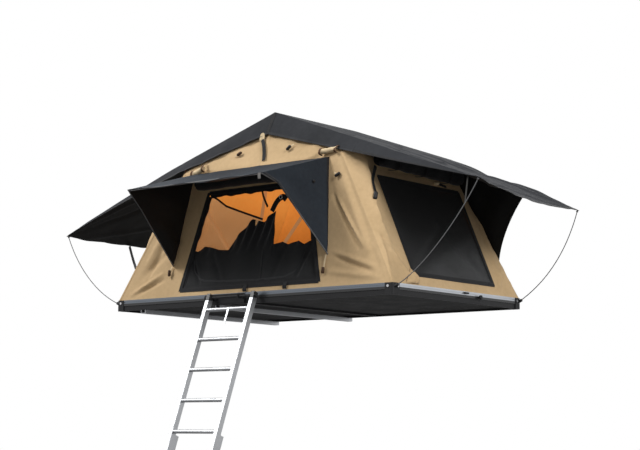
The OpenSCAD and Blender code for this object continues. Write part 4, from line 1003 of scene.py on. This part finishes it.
wing_folds = {}
for end, side, _ in ends:
    def wing_spot(u, v):
        across, hem, _ = skirted(u, 0.12)
        x, y, z = wing_at(v * 0.995, across, hem, side)
        relief = creased(across, v, wing_creases) * (1 - hem) * np.clip(v / 0.08, 0, 1)
        relief = relief + ripple(across, v * 1.2, 0.005, 7 + side) * np.clip(v / 0.1, 0, 1) * (1 - hem)
        return x, y, z + fly_thick + relief

    def curtain_spot(u, v):
        ax, ay, az = wing_at(-0.05 + 0.62 * u, np.ones_like(u), 0.8, side)
        bz = shoulder[2] + (curtain_low - shoulder[2]) * u
        bx = side * (end_foot[0] - curtain_lean_x * bz + 0.014)
        by = end_foot[1] - curtain_lean_y * bz + 0.003
        draw = side * 0.046 * u * u * 4 * v * (1 - v)
        pleat = 0.008 * np.sin(u * 14) * np.sin(math.pi * v)
        return bx + (ax - bx) * v - draw, by + (ay - by) * v + fly_thick + pleat, bz + (az - bz) * v

    normal = Vector((side * wing_fall, 0, wing_reach)).normalized()
    fold = (end + "_wing", normal, base_top + Vector((side * wing_root, 0, fly_eave)), wing_keep)
    wing_folds[end] = fold
    wing = lay(end + "_wing_cloth", 120, 90, wing_spot, (0, 0, 1))
    sew(wing, (fly_cloth, fly_inside_painted_shade), fly_thick, fold,
        [end + "_wing"])
    curtain = lay(end + "_wing_curtain", 50, 40, curtain_spot, (0, 1, 0))
    sew(curtain, (fly_inside_painted_shade,), fly_thick, fold, [end + "_wing"])
    outer_hem = ((0.12, 0.88), (0.965, 1.0), 90, 5, (side * 0.4, 0, 0.9))
    hems = (outer_hem, *mirrored_bands(0, 0.022, (0.0, 0.97), 4, 60, (0, 1, 0)))
    edging(end + "_wing_hem", wing_spot, hems, black_tape, fold)

# Spring rods: sprung steel, bowed from sockets in the corner caps to beads at the wing tips.
# They are unhooked when the tent is packed and lie flat against the folded wing.
rod_steel = hard_finish("spring_steel", (0.135, 0.135, 0.138), (0.095, 0.095, 0.098), (0.35, 0.55), 150, 0.0)
rod_radius, bead_radius, bead_below, rod_keep = 0.003, 0.007, 0.009, 0.03
socket_x, socket_y, socket_z = 1.207, 0.682, -0.020


def rod_line(start, end, leave_length, sag):
    """The four control points of a rod's curve, which leaves its socket at an angle to the chord."""
    leave = math.radians(21.9)
    chord = (end - start).normalized()
    bulge = chord.cross(chord.cross(upward)).normalized()
    way_out = (chord * math.cos(leave) + bulge * math.sin(leave)) * leave_length
    return start, start + way_out, end + bulge * sag - chord * 0.25, end


def bent_rod(start, out, inward, end):
    """A round rod on one curve from its socket to its end, with a bead on the end."""
    bpy.ops.object.select_all(action="DESELECT")
    bpy.ops.curve.primitive_bezier_curve_add()
    curve = bpy.context.object.data
    first, last = curve.splines[0].bezier_points
    for point in (first, last):
        point.handle_left_type = point.handle_right_type = "FREE"
    first.co, first.handle_left, first.handle_right = start, start * 2 - out, out
    last.co, last.handle_left, last.handle_right = end, inward, end * 2 - inward
    curve.bevel_depth, curve.bevel_resolution = rod_radius, 3
    curve.resolution_u, curve.use_fill_caps = 40, True
    bpy.ops.object.convert(target="MESH")
    rod = bpy.context.object
    bpy.ops.mesh.primitive_uv_sphere_add(segments=16, ring_count=10, radius=bead_radius, location=end)
    bead = bpy.context.object
    bpy.ops.object.transform_apply(location=True, rotation=False, scale=False)
    return join("rod", [rod, bead])


for end, side, _ in ends:
    rods = []
    for near in (1, -1):
        start = base_top + Vector((side * socket_x, near * socket_y, socket_z))
        tip = base_top + Vector([float(c) for c in wing_at(0.985, near * 0.985, 0.0, side)])
        pulled = (0.20, 0.06) if side > 0 and near < 0 else (0.268, 0.10)
        near_curve = rod_line(start, tip - upward * bead_below, *pulled)
        rods.append(bent_rod(*near_curve))
    rods = join(end + "_rods", rods)
    bpy.ops.object.shade_smooth_by_angle(angle=smooth_angle)
    rods.data.materials.append(rod_steel)
    carry(rods, (*wing_folds[end][:3], rod_keep), [end + "_wing_rods"])

# Hoods: a charcoal sheet sewn to each door wall and spread by a sprung hoop, with a cheek on each side.
# The top sags between wall and hoop; the cheeks run down to tips that are toggled to the canvas.
# The left leg of the hoop is pulled straight, while the right one keeps its bend.
hood_cloth = cloth_finish(
    "hood_cloth", (0.0225, 0.0285, 0.037), (0.0125, 0.016, 0.0215), 400, rough=0.75, sheen=0.0, bump=0.25)
fibreglass = hard_finish("hoop_fibreglass", (0.13, 0.13, 0.132), (0.09, 0.09, 0.092), (0.35, 0.5), 150, 0.0)
cheek_share, bend_share, hood_tape, hood_keep = 0.26, 0.2, 0.02, 0.1
top_end, bend_end = 1 - cheek_share, 1 - bend_share
hood_wall = ((-0.698, 0.213), (-0.590, 0.846), (0.590, 0.846), (0.656, 0.210))
hood_edge = ((-0.698, -0.6632, 0.213), (-0.6175, -1.0713, 0.5475), (-0.590, -1.2110, 0.662),
             (0.590, -1.2110, 0.662), (0.597, -1.0713, 0.618), (0.656, -0.6636, 0.210))
hoop_leg = (-1.205, -1.0634, -0.6706)


def soft_copy(name, source):
    """A copy of a CAD node's mesh with its loose triangles merged, so that it can fold away."""
    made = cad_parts[source].copy()
    made.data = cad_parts[source].data.copy()
    for key in list(made.keys()):
        del made[key]
    made.name = made.data.name = name
    made.parent = None
    made.matrix_world = Matrix.Identity(4)
    bpy.context.collection.objects.link(made)
    weld(made, 0.00001)
    bpy.ops.object.shade_smooth_by_angle(angle=smooth_angle)
    made.data.materials.clear()
    return made


for end, side, sewn_to in (("front", -1, (front_creases, 1)), ("back", 1, (back_creases, 2))):
    def hood_spot(u, v):
        wx, wz = (traced(u, hood_wall, k, (0, cheek_share, top_end, 1)) for k in (0, 1))
        relief = wall_relief(wx, wz, *sewn_to) * np.clip(20 * u * (1 - u), 0, 1)
        wy = foot[1] + front_lean * wz - 0.0005 - relief
        turns = (0, bend_share, cheek_share, top_end, bend_end, 1)
        ex, ey, ez = (traced(u, hood_edge, k, turns) for k in range(3))
        on_top = np.clip((u - cheek_share) / (top_end - cheek_share), 0, 1)
        sag = 0.028 * dome(on_top, v) + 0.010 * v * np.sin(math.pi * on_top)
        sag = sag - 0.006 * np.sin(on_top * 19) * v * np.sin(math.pi * on_top)
        cheek = (np.clip(u - top_end, 0, 1) + np.clip(cheek_share - u, 0, 1)) / cheek_share
        suck = (0.020 * np.sign(u - 0.5) + 0.008 * np.sin(cheek * 11 + v * 6)) * dome(cheek, v)
        x, y, z = wx + (ex - wx) * v - suck, wy + (ey - wy) * v, wz + (ez - wz) * v - sag
        return x, -side * y, z

    fold = (end + "_awning", rightward, middle, hood_keep)
    hood = lay(end + "_hood_cloth", 200, 40, hood_spot, (0, 0, 1))
    weld(hood, 0.0002)
    sew(hood, (hood_cloth, fly_inside_painted_shade), fly_thick, fold,
        [end + "_hood"])
    front_hem = ((0.01, 0.99), (0.955, 1.0), 160, 4, (0, side * 0.7, 0.7))
    edging(end + "_hood_hem", hood_spot, (front_hem,), fly_hem, fold, 0.0014)
    cheek_seams = mirrored_bands(0.02, cheek_share, (0.0, 0.036), 50, 3, (1, 0, 0))
    edging(end + "_hood_seam", hood_spot, cheek_seams, black_tape, fold, 0.0016)
    hoop = soft_copy(end + "_hoop_rod", end + "_hoop")
    for point in hoop.data.vertices:
        if point.co.x < hinge[0] - 0.5:
            point.co.x += np.interp(-abs(point.co.y), hoop_leg, (0, -0.021, -0.030))
            point.co.z += np.interp(-abs(point.co.y), hoop_leg, (0, -0.0694, 0.003))
    hoop.data.materials.append(fibreglass)
    carry(hoop, fold, [end + "_hoop"])


# Rolled covers: the black outer covers of the front door and the right window, rolled up above them.
# Each roll hangs under its hood or wing; the window roll is held by webbing ties.
def rolled(name, start, end, out, radius, turns, sag, seed):
    """A sheet rolled up on itself along a line, sagging between its ends."""
    start, end, out = np.array(start, float), np.array(end, float), np.array(out, float)
    out = out / np.linalg.norm(out)
    length = np.linalg.norm(end - start)
    rise = np.cross((end - start) / length, out)

    def spot(u, v):
        way = v * turns * 2 * math.pi + seed
        r = radius * (0.30 + 0.70 * v) * (1 + 0.05 * np.sin(u * 19 + seed) * v + 0.03 * np.sin(u * 41))
        droop = sag * np.abs(np.sin(u * 2 * math.pi)) + 0.06 * radius * np.sin(u * 13 + seed)
        x, y, z = (start[k] + (end[k] - start[k]) * u + r * (out[k] * np.cos(way) + rise[k] * np.sin(way))
                   for k in range(3))
        return x, y, z - droop
    return lay(name, max(20, int(length / 0.008)), 24 * turns, spot, (0, 0, 1))


def webbing(name, line, wide, outward, finish, fold, across=None):
    """A strap along a line, its corners eased; its flat side faces outward, or its width runs across."""
    line = np.array(line, float)
    for _ in range(3):
        eased = np.stack([line[:-1] * 0.75 + line[1:] * 0.25, line[:-1] * 0.25 + line[1:] * 0.75], axis=1)
        line = np.concatenate([line[:1], eased.reshape(-1, 3)[1:-1], line[-1:]])
    along = lengths(line)

    def at(s):
        return np.stack([np.interp(s, along, line[:, k]) for k in range(3)], axis=1)

    def spot(u, v):
        s = u * along[-1]
        ahead = at(np.minimum(s + 0.004, along[-1])) - at(np.maximum(s - 0.004, 0))
        sideways = np.cross(np.array(outward, float), ahead)
        if across is not None:
            sideways = np.array(across, float) + 0 * ahead
        sideways = sideways / np.linalg.norm(sideways, axis=1, keepdims=True)
        return (at(s) + (v - 0.5)[:, None] * wide * sideways).T

    made = lay(name, max(5, int(along[-1] / 0.008)), 3, spot, outward)
    sew(made, (finish,), tape_thick, fold)


def on_front(x, z, lift):
    """A point just in front of the front canvas."""
    return x, float(wall_y(x, z)) - lift, z


def on_end(y, z, lift, at_y=None):
    """A point just off the right end canvas, which is met at the point's own y or another."""
    return float(end_x(y if at_y is None else at_y, z)) + lift, y, z


roll_thick = 0.0010
front_roll = rolled(
    "front_door_roll", on_front(-0.500, 0.758, 0.048), on_front(0.475, 0.758, 0.048),
    (0, -1, 0), 0.042, 4, 0.006, 0.4)
sew(front_roll, (black_canvas,), roll_thick, sectors)
window_roll = rolled(
    "right_window_roll", on_end(-0.43, 0.828, 0.056, 0.0), on_end(0.42, 0.800, 0.056, 0.0),
    (1, 0, 0.2), 0.050, 4, 0.006, 1.1)
sew(window_roll, (black_canvas,), roll_thick, folding_fold)
for i, (y, z) in enumerate(((-0.28, 0.822), (0.0, 0.814), (0.27, 0.805))):
    x = float(end_x(0.0, z))
    loop = [(x + out, y, z + up) for out, up in (
        (0.003, 0.058), (0.112, 0.060), (0.114, 0), (0.112, -0.060), (0.003, -0.050))]
    webbing("right_window_tie_%d" % (i + 1), loop, 0.022, (1, 0, 0.3), black_tape, folding_fold,
            across=(0, 1, 0))


# Small goods on the front: toggles, straps and rolled ties that hold the hood, the fly and the door cloth.
# They are black webbing and turned toggles, sewn or looped to the canvas.
def fold_at(x, z):
    """The fold of the part of a door wall that holds a point."""
    here = base_top + Vector((x, 0, z))
    for _, planes, fold in sectors:
        if all((here - point).dot(normal) >= 0 for point, normal in planes):
            return fold
    return fixed_fold if x < 0 else folding_fold


def toggle(name, at, along, length, radius, finish, fold):
    """A short turned bar with rounded ends."""
    bpy.ops.object.select_all(action="DESELECT")
    way = Vector(along).to_track_quat("Z", "Y").to_euler()
    place = base_top + Vector(at)
    bpy.ops.mesh.primitive_cylinder_add(
        vertices=20, radius=radius, depth=length, location=place, rotation=way)
    made = bpy.context.object
    made.name = made.data.name = name
    bpy.ops.object.transform_apply(location=True, rotation=True, scale=False)
    rounding = made.modifiers.new("rounding", "BEVEL")
    rounding.width, rounding.segments = radius * 0.6, 3
    bpy.ops.object.modifier_apply(modifier=rounding.name)
    bpy.ops.object.shade_smooth_by_angle(angle=smooth_angle)
    made.data.materials.append(finish)
    carry(made, fold)


def front_line(*places):
    """Points just in front of the front canvas, each from x, z and lift."""
    return [on_front(*place) for place in places]


brown_web = tape_finish(
    "brown_webbing", (0.10, 0.045, 0.018), (0.06, 0.026, 0.010), (0.16, 0.08, 0.035), 0.02)
pale_cloth = cloth_finish("pale_cloth", (0.70, 0.56, 0.36), (0.56, 0.43, 0.26), 300)
grey_web = cloth_finish("grey_webbing", (0.20, 0.19, 0.18), (0.14, 0.135, 0.13), 210)
toggle_black = hard_finish("toggle_black", (0.022, 0.022, 0.023), black_and_painted_shade, (0.35, 0.55), 90, 0.0)
toggle_brown = hard_finish(
    "toggle_brown", (0.060, 0.030, 0.016), (0.036, 0.018, 0.010), (0.35, 0.55), 90, 0.0)
toggle_long, toggle_radius = 0.042, 0.010
front_out = (0, -1, 0.1)
for tag, x, z, way, (tip_x, tip_z), finish in (
    ("hood_tip_left", -0.712, 0.165, (0.15, 0, 1), (-0.700, 0.210), toggle_brown),
    ("hood_tip_right", 0.645, 0.105, (0.1, 0, 1), (0.654, 0.206), toggle_brown),
    ("hood_side_right", 0.690, 0.717, (0.9, 0, 0.4), (0.655, 0.735), toggle_black),
    ("gable_left", -0.208, 0.951, (0.9, 0, 0.4), (-0.245, 0.935), toggle_brown),
    ("gable_right", 0.230, 0.945, (0.8, 0, 0.6), (0.262, 0.968), toggle_black),
):
    fold = fold_at(x, z)
    toggle("front_toggle_" + tag, on_front(x, z, 0.018), way, toggle_long, toggle_radius, finish, fold)
    loop = front_line((tip_x, tip_z, 0.012), ((x + tip_x) / 2, (z + tip_z) / 2, 0.016), (x, z, 0.012))
    webbing("front_loop_" + tag, loop, 0.011, front_out, pale_cloth, fold)
gable_strap = front_line(
    (-0.042, 1.040, 0.014), (-0.006, 1.000, 0.022), (0.020, 0.930, 0.014), (0.033, 0.880, 0.014))
webbing("gable_strap", gable_strap, 0.030, front_out, black_tape, left_bow_fold)
gable_loop = front_line(
    (-0.052, 1.030, 0.016), (-0.050, 1.072, 0.026), (-0.030, 1.074, 0.026), (-0.028, 1.036, 0.018))
webbing("gable_strap_loop", gable_loop, 0.020, front_out, pale_cloth, left_bow_fold)
for tag, a, b in (("right", (0.536, 0.884), (0.655, 0.892)), ("left", (-0.590, 0.845), (-0.500, 0.878))):
    fold = fold_at(*a)
    roll_name = "front_fly_tie_" + tag
    tie_roll = rolled(roll_name, on_front(*a, 0.024), on_front(*b, 0.024), (0, -1, 0), 0.018, 2, 0.002, 2.0)
    sew(tie_roll, (pale_cloth,), roll_thick, fold)
    for i, (x, z) in enumerate((a, b)):
        band = front_line(
            (x, z + 0.028, 0.006), (x, z + 0.020, 0.046), (x, z - 0.020, 0.046), (x, z - 0.028, 0.006))
        webbing("%s_band_%d" % (roll_name, i + 1), band, 0.016, front_out, brown_web, fold,
                across=(1, 0, 0))
hood_fold = ("front_awning", rightward, middle, hood_keep)
hood_tab = [(0.566, -1.2128, 0.662), (0.566, -1.2150, 0.645), (0.566, -1.2120, 0.626)]
webbing("front_hood_tab", hood_tab, 0.022, front_out, grey_web, hood_fold)
button_at, button_long = (0.607, -0.742, 0.666), 0.010
toggle("front_hood_button", button_at, (1, 0, 0.1), button_long, toggle_radius, toggle_black, hood_fold)
for i, x in enumerate((-0.010, 0.333)):
    tab = front_line((x, 0.050, 0.006), (x, 0.020, 0.016), (x, 0.004, 0.008))
    webbing("front_rail_tab_%d" % (i + 1), tab, 0.034, front_out, black_tape, fold_at(x, 0.02))


# Door ties: a brown strap hangs from the head; a black loop with a ring gathers the panel's raised corner.
# Both are sewn into the head seam and hang free in the opening.
def in_door(x, wall_z, back, z):
    """A point in the door, behind the canvas line at a height or, where back is negative, before it."""
    return x, float(wall_y(0, wall_z)) + back, z


head_strap = [in_door(0.038, 0.687, 0.002, 0.690), in_door(0.050, 0.64, 0.004, 0.640),
              in_door(0.101, 0.56, 0.006, 0.560)]
webbing("door_head_strap", head_strap, 0.015, front_out, brown_web, right_bow_fold)
tie_strap = [in_door(0.150, 0.52, -0.002, 0.525), in_door(0.185, 0.58, -0.004, 0.590),
             in_door(0.232, 0.62, -0.002, 0.622), in_door(0.262, 0.60, 0.002, 0.596)]
webbing("door_tie_strap", tie_strap, 0.040, front_out, black_tape, right_bow_fold)
bpy.ops.object.select_all(action="DESELECT")
ring_at = base_top + Vector(in_door(0.222, 0.612, -0.010, 0.614))
bpy.ops.mesh.primitive_torus_add(
    major_radius=0.013, minor_radius=0.003, major_segments=32, minor_segments=10,
    location=ring_at, rotation=(math.pi / 2, 0, 0))
ring = bpy.context.object
ring.name = ring.data.name = "door_tie_ring"
bpy.ops.object.transform_apply(location=True, rotation=True, scale=False)
bpy.ops.object.shade_smooth_by_angle(angle=smooth_angle)
ring.data.materials.append(hard_finish("tie_ring", (0.62, 0.60, 0.56), (0.44, 0.42, 0.40), (0.3, 0.5), 90))
carry(ring, right_bow_fold)

# Small goods on the ends: the strap with a knob by the right window, a toggle over it, and the wing straps.
# The left wing strap draws the wing's outer hem back to the canvas's corner; the right one holds the rod.
end_out = (1, 0, 0.4)
strap_line = ((-0.443, 0.777), (-0.500, 0.715), (-0.535, 0.666), (-0.551, 0.584))
wall_strap = [on_end(y, z, 0.016) for y, z in strap_line]
webbing("right_wall_strap", wall_strap, 0.024, end_out, black_tape, folding_fold)
knob_x = float(end_x(-0.565, 0.56)) + 0.020
toggle("right_wall_knob", (knob_x, -0.562, 0.566), (0, 0.2, 1), 0.050, 0.014, toggle_black, folding_fold)
toggle_x = float(end_x(0.197, 0.75)) + 0.016
toggle("right_window_toggle", (toggle_x, 0.197, 0.742), (0, 1, 0.2), 0.046, 0.011, pale_cloth,
       folding_fold)
window_strap = [on_end(0.215, 0.742, 0.012, 0), (float(end_x(0, 0.735)) + 0.014, 0.300, 0.731)]
webbing("right_window_strap", window_strap, 0.018, end_out, black_tape, folding_fold)
wing_strap = [(-1.783, -0.045, 0.486), (-1.452, -0.320, 0.334), (-1.122, -0.595, 0.205)]
webbing("left_wing_strap", wing_strap, 0.026, front_out, black_tape, wing_folds["left"])
# Painted shadow: the right wing strap is painted dark, standing for the wing's shadow over it.
painted_shadow_web = cloth_finish("dark_webbing", (0.050, 0.048, 0.045), (0.036, 0.035, 0.033), 210)
wing_loop = Vector([float(c) for c in wing_at(0.90, -0.97, 0.0, 1)])
share = 0.8
pulls = ((1 - share) ** 3, 3 * (1 - share) ** 2 * share, 3 * (1 - share) * share ** 2, share ** 3)
on_rod = sum((point * pull for point, pull in zip(near_curve, pulls)), -base_top)
rod_strap = [wing_loop, (wing_loop + on_rod) / 2, on_rod]
webbing("right_wing_strap", rod_strap, 0.010, front_out, painted_shadow_web, wing_folds["right"])

# Mattress: one foam pad on each half of the base, in a dark knitted cover.
# It is blown up from a slightly smaller shape, so its sides round out and its top is crowned.
knit = cloth_finish(
    "knitted_cover", (0.20, 0.205, 0.22), (0.14, 0.145, 0.16), 180, rough=0.95, sheen=0.3, bump=0.6)
smaller_by, furthest_swell, last_tick = (0.024, 0.024, 0.012), 0.012, 20
for half in ("fixed", "folding"):
    pad = soft_copy(half + "_mattress_pad", half + "_mattress")
    low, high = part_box(half + "_mattress")
    centre, reach = np.array((low + high) / 2), np.array(high - low)
    shrink = (reach - np.array(smaller_by)) / reach
    move_points(pad.data, (points(pad.data) - centre) * shrink + centre)
    pad.data.remesh_voxel_size = 0.014
    bpy.ops.object.voxel_remesh()
    rest = points(pad.data)
    swell = pad.modifiers.new("swell", "CLOTH")
    swell.settings.use_pressure, swell.settings.uniform_pressure_force = True, 4.0
    swell.settings.effector_weights.gravity = 0
    swell.point_cache.frame_start, swell.point_cache.frame_end = 1, last_tick
    for tick in range(1, last_tick + 1):
        scene.frame_set(tick)
    bpy.ops.object.modifier_apply(modifier=swell.name)
    scene.frame_set(1)
    move = points(pad.data) - rest
    length = np.linalg.norm(move, axis=1, keepdims=True)
    settled = rest + move * np.minimum(1, furthest_swell / np.maximum(length, 1e-6))
    settled[:, 2] = np.maximum(settled[:, 2], low.z)
    move_points(pad.data, settled)
    finer = pad.modifiers.new("finer", "SUBSURF")
    finer.levels = 1
    bpy.ops.object.modifier_apply(modifier=finer.name)
    bpy.ops.object.shade_smooth()
    pad.data.materials.append(knit)
    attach(pad, half + "_deck")
    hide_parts(half + "_mattress")
